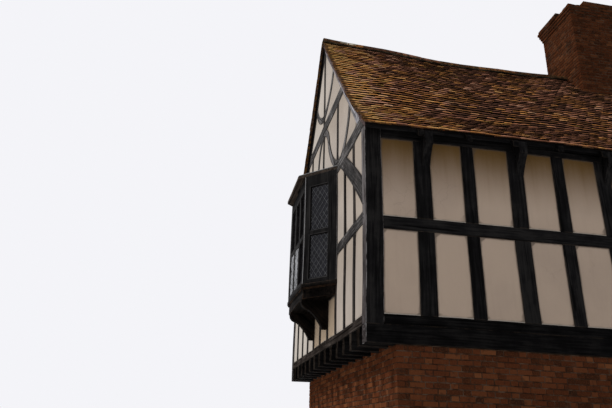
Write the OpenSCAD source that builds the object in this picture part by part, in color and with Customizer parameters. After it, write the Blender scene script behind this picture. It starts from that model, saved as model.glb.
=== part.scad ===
// Half timbered gable house: brick ground storey, jettied and close studded upper storey,
// canted oriel window on two consoles, steep tiled roof with flared eaves, brick chimney.
// The front gable faces -Y, the ridge runs along Y, Z is up and the ground is at z = 0.

/* [House] */
// Width of the gable over the corner posts
house_w = 6230; // [5800:10:6800]
// Number of bays between the members of a side wall
side_bays = 12; // [10:2:14]
// Distance from one side wall member to the next
bay_pitch = 760; // [700:10:820]
// How far the front gable oversails the brick wall below
jetty_out = 410; // [300:10:600]

/* [Ground storey] */
// Height of the brick walls, to the underside of the joists
brick_h = 2670; // [2400:10:3000]
// Thickness of the brick walls
brick_t = 330; // [220:5:450]
// Setback of the brick face behind the timber face
brick_set = 20; // [5:1:40]

/* [Floor] */
// Depth of the floor joists and of the side beams
joist_d = 250; // [200:5:300]
// Width of one joist
joist_w = 120; // [100:5:170]
// Number of joists across the house
joist_count = 13; // [10:1:16]
// Width and depth of the cross beams under the joists
cross_beam = 300; // [240:10:360]
// Length of each cross beam's seat in the side walls
beam_seat = 200; // [120:10:300]
// Thickness of the floor boards
board_t = 30; // [20:1:40]

/* [Timber frame] */
// Depth of the wall timbers from face to back
timber_d = 200; // [160:5:240]
// Width of a corner post on the side wall
post_w = 250; // [210:5:300]
// Height of the sills
sill_h = 140; // [100:5:180]
// Width of the studs in the gables
stud_w = 110; // [80:5:150]
// Spacing of the studs in the gables
stud_pitch = 605; // [590:1:640]
// Width of the narrower members of the side walls
side_stud_w = 200; // [150:5:240]
// Underside of the gable mid rail above the sill top
gable_rail_up = 1340; // [1260:10:1420]
// Height of the gable mid rail
gable_rail_h = 180; // [120:5:220]
// Underside of the side mid rail above the sill top
side_rail_up = 1210; // [1000:10:1400]
// Height of the side mid rail
side_rail_h = 200; // [120:5:240]
// Height of the storey from the sill top to the tie beam
storey_h = 2890; // [2800:10:3000]
// Height of the tie beams
tie_h = 240; // [200:5:280]
// Height of the wall plates on the side walls
plate_h = 220; // [160:5:260]
// Underside of the collar above the tie beam
collar_up = 1230; // [1150:10:1300]
// Height of the collar
collar_h = 230; // [180:5:260]
// Width of the king stud
king_w = 130; // [90:5:180]
// Width of the slender curved braces
brace_w = 130; // [90:5:150]
// Setback of the plaster behind the timber face
plaster_set = 15; // [5:1:40]
// Thickness of the plaster panels
plaster_t = 110; // [70:5:150]

/* [Curved braces] */
// Height above the collar where the arched braces meet the rafters
arch_rise = 1000; // [900:10:1080]
// Height of the foot of the arched braces above the collar
arch_foot = 170; // [140:5:220]
// Bend of the arched braces
arch_sag = 190; // [150:5:220]
// Height above the tie beam where the low braces meet the rafters
low_rise = 820; // [740:10:880]
// Run of the low braces along the tie beam
low_run = 630; // [560:10:680]
// Bend of the low braces
low_sag = 170; // [140:5:200]
// Distance of the turn of the waved braces from the middle
wave_turn = 500; // [450:10:560]
// Drop of the turn of the waved braces below the collar
wave_drop = 440; // [400:10:480]
// Reach of the waved braces beyond the jamb line of the window
wave_out = 190; // [160:5:210]
// Bend of the upper part of the waved braces
wave_sag = 110; // [90:5:125]
// Drop of the wide braces below the tie beam
wide_drop = 1190; // [1100:10:1240]
// Run of the wide braces
wide_run = 1585; // [1500:5:1650]
// Width of the wide braces at the top
wide_top_w = 240; // [200:5:280]
// Width of the wide braces at the foot
wide_foot_w = 330; // [280:5:360]
// Bend of the wide braces
wide_sag = 50; // [20:5:70]
// How far the curved braces run in under the timbers that hold them
brace_lap = 160; // [120:5:200]

/* [Roof] */
// Pitch of the main roof slope in degrees
roof_pitch = 51.3; // [49.5:0.1:52]
// Pitch of the flared foot of the roof in degrees
flare_pitch = 44.4; // [40:0.1:47]
// How far inside the wall face the flare begins
flare_in = 565; // [450:5:620]
// Reach of the tiles beyond the side wall
eaves_out = 215; // [190:5:260]
// Reach of the tiles beyond the gable
verge_out = 55; // [20:5:80]
// Underside of the covering at the wall face, above the wall plates
roof_seat = 63; // [40:1:120]
// Thickness of tiles and battens together
cover_t = 65; // [50:1:80]
// Depth of the rafters
rafter_d = 140; // [110:5:170]
// Width of the common rafters
rafter_w = 100; // [70:5:120]
// Radius of the ridge tiles
ridge_r = 110; // [90:5:140]
// Depth of the rafter feet beyond the wall
foot_d = 75; // [50:5:90]

/* [Eaves brackets] */
// Width of a bracket
bracket_w = 130; // [90:5:140]
// Reach of a bracket from the wall
bracket_out = 185; // [150:5:185]
// Height of the horizontal arm of a bracket
bracket_arm = 180; // [120:5:200]
// Height of a whole bracket
bracket_h = 520; // [420:10:620]

/* [Oriel] */
// Projection of the oriel from the wall
oriel_out = 495; // [400:5:560]
// Thickness of the oriel frame
oriel_t = 90; // [60:5:110]
// Underside of the oriel's base above the sill top
oriel_up = 660; // [600:10:720]
// Height of the oriel's moulded base
oriel_base_h = 250; // [210:5:300]
// Width of the corner posts of the oriel
oriel_post = 110; // [80:5:130]
// Width of the oriel's posts at the wall
oriel_wall_post = 200; // [120:5:230]
// Width of the mullions
mullion_w = 70; // [50:5:90]
// Height of the transom
transom_h = 80; // [60:5:100]
// Height of the bottom rail
oriel_rail = 80; // [60:5:120]
// Height of the head rail over the lights
oriel_head = 225; // [150:5:260]
// Height of the lower lights
lower_light_h = 810; // [740:5:860]
// Thickness of the cornice board
cornice_t = 60; // [40:5:90]
// Reach of the cornice beyond the front lights
cornice_out = 120; // [60:5:160]
// Thickness of the lead on top of the oriel
lead_t = 12; // [8:1:20]
// Thickness of the glass panes
glass_t = 8; // [6:1:12]
// Setback of the glass behind the frame face
glass_set = 35; // [20:1:45]
// Width of a console under the oriel
console_w = 110; // [80:5:140]
// Height of a console
console_h = 490; // [400:10:540]
// Radius of the console's round nose
console_nose = 120; // [80:5:140]

/* [Chimney] */
// Width of the chimney stack across the house
stack_w = 1200; // [1100:10:1400]
// Depth of the chimney stack along the ridge
stack_l = 1200; // [1000:10:1400]
// Front face of the stack behind the front gable
stack_y = 5910; // [5600:10:6000]
// Height of the stack above the ridge, to the underside of the cap
stack_up = 1380; // [1100:10:1700]
// Thickness of the stack's walls around the flue
stack_wall = 300; // [220:5:340]
// Height of each oversailing course of the cap
course_h = 75; // [60:5:90]
// Step of each oversailing course
course_step = 21; // [15:1:60]
// Number of oversailing courses
course_count = 4; // [3:1:5]
// Distance from the middle of the cap to its broken corner
chip_x = 120; // [60:10:240]
// Length of the broken corner along the house
chip_l = 450; // [420:10:600]
// Number of top courses that are gone from the broken corner
chip_count = 2; // [1:1:2]
// Height of the solid base under the flue
hearth_h = 300; // [200:10:400]

/* [Hidden] */

// Plan
half_w = house_w / 2;
house_l = side_bays * bay_pitch + post_w;
inner_w = half_w - timber_d;
wall_x = half_w - brick_set;
cut = 10;

// Levels
joist_top = brick_h + joist_d;
sill_top = joist_top + sill_h;
gable_rail_z = sill_top + gable_rail_up;
gable_rail_top = gable_rail_z + gable_rail_h;
side_rail_z = sill_top + side_rail_up;
side_rail_top = side_rail_z + side_rail_h;
tie_z = sill_top + storey_h;
tie_top = tie_z + tie_h;
plate_z = tie_z - plate_h;
collar_z = tie_top + collar_up;
collar_top = collar_z + collar_h;
// The ridge follows from the roof's seat on the wall plates
flare_x = half_w - flare_in;
seat_rise = roof_seat + cover_t / cos(flare_pitch);
ridge_z = tie_z + seat_rise + flare_in * tan(flare_pitch) + flare_x * tan(roof_pitch);

// Cross beams in the middle of the front room and of the rear room
beam_x = wall_x - brick_t + beam_seat;
stack_end = stack_y + stack_l;
rear_inner = house_l - brick_set - brick_t;
cross_ys = [(stack_y - cross_beam) / 2, (stack_end + rear_inner - cross_beam) / 2];

// Roof
eaves_x = half_w + eaves_out;
inner_d = cover_t + rafter_d;
// Rafters stand this far along the wall post that carries them
rafter_set = 10;
// Eaves brackets: clearance of the arm under the covering, width, run-in and bend of the knee
arm_gap = 5;
knee_w = 95;
knee_lap = 60;
knee_sag = 25;
joist_pitch = 2 * inner_w / joist_count;
stack_top = ridge_z + stack_up;
cap_h = course_h * (course_count + 1);
cap_out = course_count * course_step;
roof_far = house_l + verge_out;

// Oriel, with 45 degree sides
jamb_x = 2 * stud_pitch;
// How far the oriel covers the wall beyond its jamb line
oriel_lap = 70;
oriel_half = jamb_x + oriel_lap;
oriel_front = oriel_half - oriel_out;
oriel_z = sill_top + oriel_up;
oriel_floor = oriel_z + oriel_base_h;
lower_z = oriel_floor + oriel_rail;
upper_z = lower_z + lower_light_h + transom_h;
// The cornice ends this far under the top of the tie beam
cornice_drop = 90;
cornice_z = tie_top - cornice_drop - cornice_t;
upper_light_h = cornice_z - oriel_head - upper_z;
// Rail between the jambs, behind the base
window_rail_h = 180;
// Moulding of the base: plain face's setback, fillet, nosing height and reach
base_in = 25;
fillet_h = 20;
nosing_h = 70;
nosing_out = 12;
// Consoles: depth at the foot, bend of the underside, plain height over the round nose
console_foot = 90;
console_sag = 30;
nose_fillet = 40;
side_len = oriel_out * sqrt(2);
front_light_w = (2 * (oriel_front - oriel_post) - 2 * mullion_w) / 3;
opening_x = jamb_x - stud_w / 2;

// The origin stands on the ground under the middle of the whole outline
front_reach = oriel_out + cornice_out;
shift_y = -(roof_far - front_reach) / 2;

oak = [0.13, 0.12, 0.12];
grey_oak = [0.36, 0.33, 0.3];
lime = [0.8, 0.76, 0.7];
brick = [0.42, 0.22, 0.16];
tile = [0.5, 0.3, 0.19];

// Height of the main slope and of the flare, d below the top of the tiles
function main_z(x, d) = ridge_z - d / cos(roof_pitch) - x * tan(roof_pitch);
function flare_z(x, d) =
    main_z(flare_x, 0) - d / cos(flare_pitch) - (x - flare_x) * tan(flare_pitch);
function knee_x(d) =
    (main_z(0, d) - flare_z(0, d)) / (tan(roof_pitch) - tan(flare_pitch));
function slope_x(z, d) = (main_z(0, d) - z) / tan(roof_pitch);
function roof_line(d, x_end) =
    [[0, main_z(0, d)], [knee_x(d), main_z(knee_x(d), d)], [x_end, flare_z(x_end, d)]];

// Points beside a round arc from p to q, which bulges by sag to the left of that direction.
// They lie e0 off the arc at its start and e1 off it at its end.
arc_steps = 14;
function arc(p, q, sag, e0 = 0, e1 = 0, n = arc_steps) =
    let (c = (p + q) / 2, h = norm(q - p) / 2, u = (q - p) / (2 * h), v = [-u[1], u[0]],
         r = (h * h + sag * sag) / (2 * sag), m = c + v * (sag - r), a = asin(h / r))
    [for (i = [0:n]) let (t = -a + 2 * a * i / n, e = e0 + (e1 - e0) * i / n)
        m + (r + e) * (u * sin(t) + v * cos(t))];
function flip(list) = [for (i = [len(list) - 1:-1:0]) list[i]];

// A curved timber between two points, w0 wide at the first and w1 at the second
module curved(p, q, sag, w0, w1) {
    polygon(concat(arc(p, q, sag, w0 / 2, w1 / 2), flip(arc(p, q, sag, -w0 / 2, -w1 / 2))));
}

// A timber that bends by sag one way from p to q, then the other way to r without a kink
function bearing(v) = atan2(v[1], v[0]);
function turn(p, q, sag) = 2 * atan(2 * sag / norm(q - p));
module waved(p, q, r, sag, w) {
    back = bearing(q - p) - turn(p, q, sag) - bearing(r - q);
    sag_back = norm(r - q) / 2 * tan(back / 2);
    function side(e) = concat(arc(p, q, sag, e, e),
        [for (i = [1:arc_steps]) arc(q, r, sag_back, e, e)[i]]);
    polygon(concat(side(w / 2), flip(side(-w / 2))));
}

module placed() { translate([0, shift_y, 0]) children(); }
module both_x() { children(); mirror([1, 0, 0]) children(); }
module rect(x0, z0, x1, z1) { translate([x0, z0]) square([x1 - x0, z1 - z0]); }

// A gable drawing in x and z, made d deep with its front face at y
module upright(y, d) { translate([0, y + d, 0]) rotate([90, 0, 0]) linear_extrude(d) children(); }
// A side wall drawing in y and z, made d deep with its outer face at x
module sideways(x, d) { translate([x - d, 0, 0]) rotate([90, 0, 90]) linear_extrude(d) children(); }

// Gable regions between the main timbers
module under_slope(d) {
    polygon([[-slope_x(tie_z, d), tie_z], [slope_x(tie_z, d), tie_z], [0, main_z(0, d)]]);
}
module top_field() {
    intersection() {
        under_slope(inner_d);
        rect(-half_w, collar_top, half_w, ridge_z);
    }
}
module mid_field() {
    intersection() {
        under_slope(inner_d);
        rect(-half_w, tie_top, half_w, collar_z);
    }
}
module upper_field() { rect(-inner_w, gable_rail_top, inner_w, tie_z); }
module lower_field() { rect(-inner_w, sill_top, inner_w, gable_rail_z); }

// Curved braces of a gable, above the collar, below it and under the tie beam
module top_curves() {
    up = collar_top + arch_rise;
    end_x = slope_x(up, inner_d) + 1.6 * brace_lap;
    both_x() curved([-king_w / 2, collar_top + arch_foot], [end_x, up], -arch_sag, brace_w, brace_w);
}
module mid_curves() {
    up = tie_top + low_rise;
    end_x = slope_x(up, inner_d) + brace_lap;
    both_x() {
        waved([-stud_w / 2, collar_z + cut], [wave_turn, collar_z - wave_drop],
            [jamb_x + wave_out, tie_top - brace_lap / 2], wave_sag, brace_w);
        curved([end_x - low_run, tie_top - brace_lap / 2], [end_x, up], -low_sag, brace_w, brace_w);
    }
}
module wide_curves() {
    end_x = inner_w + brace_lap;
    both_x() curved([end_x - wide_run, tie_z + brace_lap], [end_x, tie_z - wide_drop],
        wide_sag, wide_top_w, wide_foot_w);
}

// Upright timbers of a gable
module bar(x, w, z0, z1) { rect(x - w / 2, z0, x + w / 2, z1); }
module king_stud() { bar(0, king_w, collar_top - cut, ridge_z); }
module mid_studs() {
    for (x = [-jamb_x - 40, 0, jamb_x + 40]) bar(x, stud_w, tie_top - cut, collar_z + cut);
}
module low_studs(window) {
    for (k = [-4:4]) let (top_z = window && abs(k) < 2 ? oriel_z : tie_z + cut)
        bar(k * stud_pitch, stud_w, sill_top - cut, top_z);
}
module window_gap() { rect(-jamb_x, oriel_z, jamb_x, tie_z + cut); }

// All the studs, and all the braces, each cut to its field
module studs(window) {
    intersection() {
        top_field();
        king_stud();
    }
    difference() {
        intersection() {
            mid_field();
            mid_studs();
        }
        difference() {
            mid_curves();
            bar(0, stud_w, tie_z, collar_top);
        }
    }
    difference() {
        intersection() {
            union() {
                upper_field();
                lower_field();
                if (window) both_x() bar(jamb_x, stud_w, gable_rail_z - cut, gable_rail_top + cut);
            }
            low_studs(window);
        }
        wide_curves();
    }
}
module braces() {
    difference() {
        intersection() {
            top_field();
            top_curves();
        }
        king_stud();
    }
    difference() {
        intersection() {
            mid_field();
            mid_curves();
        }
        bar(0, stud_w, tie_z, collar_top);
    }
    intersection() {
        upper_field();
        wide_curves();
    }
}
module gable_rail(window) {
    difference() {
        rect(-inner_w, gable_rail_z, inner_w, gable_rail_top);
        if (window) rect(-jamb_x - stud_w / 2, sill_top, jamb_x + stud_w / 2, tie_z);
    }
    if (window) rect(-opening_x, oriel_z, opening_x, oriel_z + window_rail_h);
}
module gable_panels(window) {
    difference() {
        top_field();
        king_stud();
        top_curves();
    }
    difference() {
        mid_field();
        mid_studs();
        mid_curves();
    }
    difference() {
        union() {
            upper_field();
            lower_field();
        }
        low_studs(window);
        wide_curves();
        if (window) window_gap();
    }
}

// Side wall drawings in y and z
function member_y(i) = i * bay_pitch;
function member_w(i) = i % 2 == 1 ? post_w : side_stud_w;
module side_members() {
    for (i = [1:side_bays - 1]) {
        rect(member_y(i), sill_top, member_y(i) + member_w(i), side_rail_z);
        rect(member_y(i), side_rail_top, member_y(i) + member_w(i), plate_z);
    }
}
module side_field() {
    rect(post_w, sill_top, house_l - post_w, side_rail_z);
    rect(post_w, side_rail_top, house_l - post_w, plate_z);
}

// Chimney outline through floor and roof
module stack_block(grow, z0, z1) {
    translate([-stack_w / 2 - grow, stack_y - grow, z0])
        cube([stack_w + 2 * grow, stack_l + 2 * grow, z1 - z0]);
}

// Ground storey
module ground_wall_front() {
    placed() color(brick) translate([-wall_x, jetty_out, 0]) cube([2 * wall_x, brick_t, brick_h]);
}
module ground_wall_rear() {
    placed() color(brick) translate([-wall_x, house_l - brick_set - brick_t, 0])
        cube([2 * wall_x, brick_t, brick_h]);
}
module beams(top) {
    for (y = cross_ys) translate([-beam_x, y, brick_h - cross_beam])
        cube([2 * beam_x, cross_beam, top - brick_h + cross_beam]);
}
module side_wall() {
    difference() {
        translate([wall_x - brick_t, jetty_out + brick_t, 0])
            cube([brick_t, house_l - brick_set - 2 * brick_t - jetty_out, brick_h]);
        beams(brick_h + cut);
    }
}
module ground_wall_right() { placed() color(brick) side_wall(); }
module ground_wall_left() { placed() color(brick) mirror([1, 0, 0]) side_wall(); }

// Floor
module side_beams() {
    placed() color(oak) both_x() translate([inner_w, 0, brick_h]) cube([timber_d, house_l, joist_d]);
}
module cross_beams() { placed() color(oak) beams(brick_h); }
function joist_x(i) = -inner_w + (i - 0.5) * joist_pitch;
module floor_joists() {
    placed() color(oak) difference() {
        for (i = [1:joist_count]) translate([joist_x(i) - joist_w / 2, 0, brick_h])
            cube([joist_w, house_l, joist_d]);
        stack_block(0, brick_h - cut, joist_top + cut);
    }
}
module joist_infill() {
    placed() color(brick) for (y = [jetty_out, house_l - brick_set - brick_t / 2])
        for (i = [0:joist_count]) let (x0 = i == 0 ? -inner_w : joist_x(i) + joist_w / 2,
            x1 = i == joist_count ? inner_w : joist_x(i + 1) - joist_w / 2)
            translate([x0, y, brick_h]) cube([x1 - x0, brick_t / 2, joist_d]);
}
module floor_boards() {
    placed() color([0.4, 0.3, 0.2]) difference() {
        translate([-inner_w, timber_d, joist_top]) cube([2 * inner_w, house_l - 2 * timber_d, board_t]);
        stack_block(0, joist_top - cut, joist_top + board_t + cut);
    }
}

// Main timbers
module corner_posts() {
    placed() color(oak) both_x() for (y = [0, house_l - post_w])
        translate([inner_w, y, joist_top]) cube([timber_d, post_w, tie_z - joist_top]);
}
module gable_sills() {
    placed() color(grey_oak) for (y = [0, house_l - timber_d])
        upright(y, timber_d) rect(-inner_w, joist_top, inner_w, sill_top);
}
module side_sills() {
    placed() color(oak) both_x()
        sideways(half_w, timber_d) rect(post_w, joist_top, house_l - post_w, sill_top);
}
module wall_plates() {
    placed() color(oak) both_x()
        sideways(half_w, timber_d) rect(post_w, plate_z, house_l - post_w, tie_z);
}
module below_roof() { polygon(concat(roof_line(cover_t, half_w + cut),
    [[half_w + cut, 0], [-half_w - cut, 0]],
    [for (p = flip(roof_line(cover_t, half_w + cut))) [-p[0], p[1]]])); }
module tie_beams() {
    placed() color(grey_oak) for (y = [0, house_l - timber_d]) upright(y, timber_d)
        intersection() {
            rect(-half_w, tie_z, half_w, tie_top);
            below_roof();
        }
}
module collars() {
    placed() color(grey_oak) for (y = [0, house_l - timber_d]) upright(y, timber_d)
        intersection() {
            under_slope(inner_d);
            rect(-half_w, collar_z, half_w, collar_top);
        }
}
// One rafter of the right slope, standing at the height foot_z, and its foot beyond the wall
module rafter(foot_z) {
    difference() {
        below_roof();
        under_slope(inner_d);
        rect(-house_w, -cut, house_w, foot_z);
        rect(-house_w, 0, 0, ridge_z + cut);
    }
}
module rafter_foot() {
    intersection() {
        polygon(concat(roof_line(cover_t, eaves_x - cut),
            flip(roof_line(cover_t + foot_d, eaves_x - cut))));
        rect(half_w, 0, house_w, ridge_z);
    }
}
module slope_rafters() {
    for (y = [0, house_l - timber_d]) upright(y, timber_d) rafter(tie_top);
    difference() {
        for (i = [1:side_bays - 1]) upright(member_y(i) + rafter_set, rafter_w) {
            rafter(tie_z);
            rafter_foot();
        }
        stack_block(0, tie_z, stack_top);
    }
}
module rafters_right() { placed() color(oak) slope_rafters(); }
module rafters_left() { placed() color(oak) mirror([1, 0, 0]) slope_rafters(); }

// Gable infill and framing
module front_studs() { placed() color(grey_oak) upright(0, timber_d) studs(true); }
module rear_studs() {
    placed() color(grey_oak) upright(house_l - timber_d, timber_d) studs(false);
}
module front_rails() { placed() color(grey_oak) upright(0, timber_d) gable_rail(true); }
module rear_rails() { placed() color(grey_oak) upright(house_l - timber_d, timber_d) gable_rail(false); }
module front_braces() { placed() color(grey_oak) upright(0, timber_d) braces(); }
module rear_braces() { placed() color(grey_oak) upright(house_l - timber_d, timber_d) braces(); }
module front_plaster() { placed() color(lime) upright(plaster_set, plaster_t) gable_panels(true); }
module rear_plaster() {
    placed() color(lime) upright(house_l - plaster_set - plaster_t, plaster_t) gable_panels(false);
}

// Side walls
module wall_posts() { sideways(half_w, timber_d) side_members(); }
module wall_rail() {
    sideways(half_w, timber_d) rect(post_w, side_rail_z, house_l - post_w, side_rail_top);
}
module wall_plaster() {
    sideways(half_w - plaster_set, plaster_t) difference() {
        side_field();
        side_members();
    }
}
module right_posts() { placed() color(oak) wall_posts(); }
module right_rails() { placed() color(oak) wall_rail(); }
module right_plaster() { placed() color(lime) wall_plaster(); }
module left_posts() { placed() color(oak) mirror([1, 0, 0]) wall_posts(); }
module left_rails() { placed() color(oak) mirror([1, 0, 0]) wall_rail(); }
module left_plaster() { placed() color(lime) mirror([1, 0, 0]) wall_plaster(); }

// Brackets under the eaves, one on each wide post: an arm and a curved knee
module bracket_side() {
    arm_top = flare_z(half_w + bracket_out, cover_t) - arm_gap;
    rect(0, arm_top - bracket_arm, bracket_out, arm_top);
    intersection() {
        curved([-knee_lap, arm_top - bracket_h], [bracket_out, arm_top - bracket_arm + knee_lap],
            knee_sag, knee_w, knee_w);
        rect(0, 0, bracket_out, arm_top - bracket_arm);
    }
}
function bracket_y(i) = member_y(i) + rafter_set + rafter_w + rafter_set;
module eaves_brackets() {
    placed() color(oak) both_x() for (i = [1:2:side_bays - 1])
        translate([half_w, 0, 0]) upright(bracket_y(i), bracket_w) bracket_side();
}

// Roof covering
module slope_cover() {
    difference() {
        upright(-verge_out, house_l + 2 * verge_out)
            polygon(concat(roof_line(0, eaves_x), flip(roof_line(cover_t, eaves_x))));
        stack_block(0, tie_z, stack_top);
    }
}
module roof_right() { placed() color(tile) slope_cover(); }
module roof_left() { placed() color(tile) mirror([1, 0, 0]) slope_cover(); }
module ridge_tiles() {
    placed() color(tile) difference() {
        upright(-verge_out, house_l + 2 * verge_out) difference() {
            translate([0, ridge_z - ridge_r / 2]) circle(ridge_r, $fn = 32);
            polygon([[-half_w, main_z(half_w, 0)], [half_w, main_z(half_w, 0)], [0, ridge_z]]);
        }
        stack_block(0, tie_z, stack_top);
    }
}

// Chimney
module flue(z0, z1) {
    translate([-stack_w / 2 + stack_wall, stack_y + stack_wall, z0])
        cube([stack_w - 2 * stack_wall, stack_l - 2 * stack_wall, z1 - z0]);
}
module chimney_stack() {
    placed() color(brick) difference() {
        stack_block(0, 0, stack_top);
        flue(hearth_h, stack_top + cut);
    }
}
// The front right corner of the cap, where the top courses have fallen
module broken_corner() {
    translate([chip_x, stack_y - cap_out - cut, stack_top + cap_h - chip_count * course_h])
        cube([stack_w, chip_l + cut, chip_count * course_h + cut]);
}
module chimney_cap() {
    placed() color(brick) difference() {
        union() {
            for (i = [1:course_count]) stack_block(i * course_step,
                stack_top + (i - 1) * course_h, stack_top + i * course_h);
            stack_block((course_count - 1) * course_step,
                stack_top + course_count * course_h, stack_top + cap_h);
        }
        flue(stack_top - cut, stack_top + cap_h + cut);
        broken_corner();
    }
}

// Oriel plan, set in from its outer faces
function plan(inset) = [
    [oriel_half - inset * sqrt(2), 0],
    [oriel_front - inset * tan(22.5), -oriel_out + inset],
    [-oriel_front + inset * tan(22.5), -oriel_out + inset],
    [-oriel_half + inset * sqrt(2), 0]
];
// Profile of the base, as distance in from the oriel's faces and height above its underside:
// a plain face, a hollow, a fillet and a rounded nosing
function quarter(c, r, a0, a1, n = 6) =
    [for (i = [0:n]) let (a = a0 + (a1 - a0) * i / n) c + r * [cos(a), sin(a)]];
function base_profile() = let (nose_z = oriel_base_h - nosing_h) concat([[base_in, 0]],
    quarter([0, nose_z - fillet_h - base_in], base_in, 0, 90),
    quarter([0, nose_z + nosing_out], nosing_out, -90, -180), [[-nosing_out, oriel_base_h]]);
// All that lies behind one moulded face, which stands dist from the middle of the wall
module behind_face(angle, dist) {
    span = 2 * oriel_half;
    rotate([0, 0, angle]) translate([-span, -dist, oriel_z]) rotate([90, 0, 90]) linear_extrude(2 * span)
        polygon(concat(base_profile(), [[span, oriel_base_h], [span, 0]]));
}
module oriel_base() {
    placed() color(oak) intersection() {
        behind_face(0, oriel_out);
        behind_face(45, oriel_half / sqrt(2));
        behind_face(-45, oriel_half / sqrt(2));
        translate([-half_w, -house_l, oriel_z]) cube([house_w, house_l, oriel_base_h]);
    }
}
module console_side() {
    nose_x = oriel_out - base_in - console_nose;
    nose_z = oriel_z - nose_fillet;
    foot_z = oriel_z - console_h;
    polygon(concat([[0, oriel_z], [0, foot_z]],
        arc([console_foot, foot_z], [nose_x, nose_z - console_nose], console_sag),
        [[nose_x, oriel_z]]));
    translate([nose_x, nose_z]) intersection() {
        circle(console_nose, $fn = 48);
        rect(-console_nose, -console_nose, console_nose, 0);
    }
    rect(nose_x - cut, nose_z - cut, nose_x + console_nose, oriel_z);
}
module oriel_consoles() {
    placed() color(oak) for (x = [-stud_pitch, stud_pitch])
        translate([x - console_w / 2, 0, 0]) rotate([90, 0, 90]) linear_extrude(console_w)
            mirror([1, 0]) console_side();
}
module front_lights(y0, y1) {
    for (i = [-1:1], z = [[lower_z, lower_light_h], [upper_z, upper_light_h]])
        translate([i * (front_light_w + mullion_w) - front_light_w / 2, y0, z[0]])
            cube([front_light_w, y1 - y0, z[1]]);
}
module side_lights(y0, y1) {
    for (z = [[lower_z, lower_light_h], [upper_z, upper_light_h]])
        translate([oriel_half, 0, z[0]]) rotate([0, 0, 225])
            translate([oriel_wall_post, -y1, 0])
                cube([side_len - oriel_wall_post - oriel_post, y1 - y0, z[1]]);
}
module frame_block(points) {
    translate([0, 0, oriel_floor]) linear_extrude(cornice_z - oriel_floor) polygon(points);
}
module oriel_front_frame() {
    placed() color(oak) difference() {
        frame_block([plan(0)[1], plan(0)[2], plan(oriel_t)[2], plan(oriel_t)[1]]);
        front_lights(-oriel_out - cut, -oriel_out + oriel_t + cut);
    }
}
module side_frame() {
    difference() {
        frame_block([plan(0)[0], plan(0)[1], plan(oriel_t)[1], plan(oriel_t)[0]]);
        side_lights(-cut, oriel_t + cut);
    }
}
module oriel_right_frame() { placed() color(oak) side_frame(); }
module oriel_left_frame() { placed() color(oak) mirror([1, 0, 0]) side_frame(); }
module oriel_glass() {
    placed() color([0.2, 0.24, 0.3]) {
        front_lights(-oriel_out + glass_set, -oriel_out + glass_set + glass_t);
        both_x() side_lights(glass_set, glass_set + glass_t);
    }
}
function cornice_plan(over) = [
    [oriel_half, 0], [oriel_front - over, -oriel_out - over],
    [-oriel_front + over, -oriel_out - over], [-oriel_half, 0]
];
module oriel_cornice() {
    placed() color(oak) translate([0, 0, cornice_z]) linear_extrude(cornice_t)
        polygon(cornice_plan(cornice_out));
}
module oriel_lead() {
    placed() color([0.45, 0.46, 0.48]) translate([0, 0, cornice_z + cornice_t]) linear_extrude(lead_t)
        polygon(cornice_plan(cornice_out - 10));
}

ground_wall_front();
ground_wall_rear();
ground_wall_right();
ground_wall_left();
side_beams();
cross_beams();
floor_joists();
joist_infill();
floor_boards();
corner_posts();
gable_sills();
side_sills();
wall_plates();
tie_beams();
collars();
rafters_right();
rafters_left();
front_studs();
front_rails();
front_braces();
front_plaster();
rear_studs();
rear_rails();
rear_braces();
rear_plaster();
right_posts();
right_rails();
right_plaster();
left_posts();
left_rails();
left_plaster();
eaves_brackets();
roof_right();
roof_left();
ridge_tiles();
chimney_stack();
chimney_cap();
oriel_base();
oriel_consoles();
oriel_front_frame();
oriel_right_frame();
oriel_left_frame();
oriel_glass();
oriel_cornice();
oriel_lead();
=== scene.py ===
"""Looks of the half timbered house: hewn oak, lime plaster, hand made bricks and tiles, leaded lights."""

import math
from itertools import product

import bmesh
import bpy
import numpy as np
from mathutils import Matrix, Vector
from mathutils.bvhtree import BVHTree


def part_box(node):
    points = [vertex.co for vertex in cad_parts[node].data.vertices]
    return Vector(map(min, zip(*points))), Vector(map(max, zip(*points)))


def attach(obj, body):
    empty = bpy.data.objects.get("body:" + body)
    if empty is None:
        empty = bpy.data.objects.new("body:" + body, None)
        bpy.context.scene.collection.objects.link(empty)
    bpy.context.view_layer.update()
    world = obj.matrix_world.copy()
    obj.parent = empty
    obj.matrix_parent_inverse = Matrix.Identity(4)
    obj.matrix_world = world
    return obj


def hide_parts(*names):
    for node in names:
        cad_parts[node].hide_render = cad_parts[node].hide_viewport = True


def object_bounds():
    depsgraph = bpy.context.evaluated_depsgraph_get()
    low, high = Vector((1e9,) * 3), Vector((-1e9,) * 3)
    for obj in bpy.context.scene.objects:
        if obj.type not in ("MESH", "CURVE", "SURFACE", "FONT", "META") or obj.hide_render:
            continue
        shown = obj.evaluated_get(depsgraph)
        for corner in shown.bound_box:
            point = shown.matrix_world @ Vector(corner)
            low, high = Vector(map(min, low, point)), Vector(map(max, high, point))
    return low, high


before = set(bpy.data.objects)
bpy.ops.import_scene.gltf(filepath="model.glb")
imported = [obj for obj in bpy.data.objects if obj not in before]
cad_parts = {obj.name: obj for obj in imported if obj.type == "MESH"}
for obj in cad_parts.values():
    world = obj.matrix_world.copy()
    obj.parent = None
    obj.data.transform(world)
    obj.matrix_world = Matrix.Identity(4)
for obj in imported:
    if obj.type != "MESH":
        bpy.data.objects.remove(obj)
CAD_LOW, CAD_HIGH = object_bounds()

# Main lines of the house, read from the frame
POSTS_LOW, POSTS_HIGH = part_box("corner_posts")
FRONT_Y, REAR_Y = POSTS_LOW.y, POSTS_HIGH.y
EAVES_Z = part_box("wall_plates")[1].z
STACK_LOW, STACK_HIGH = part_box("chimney_stack")
UP = np.array([0.0, 0.0, 1.0])

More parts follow.
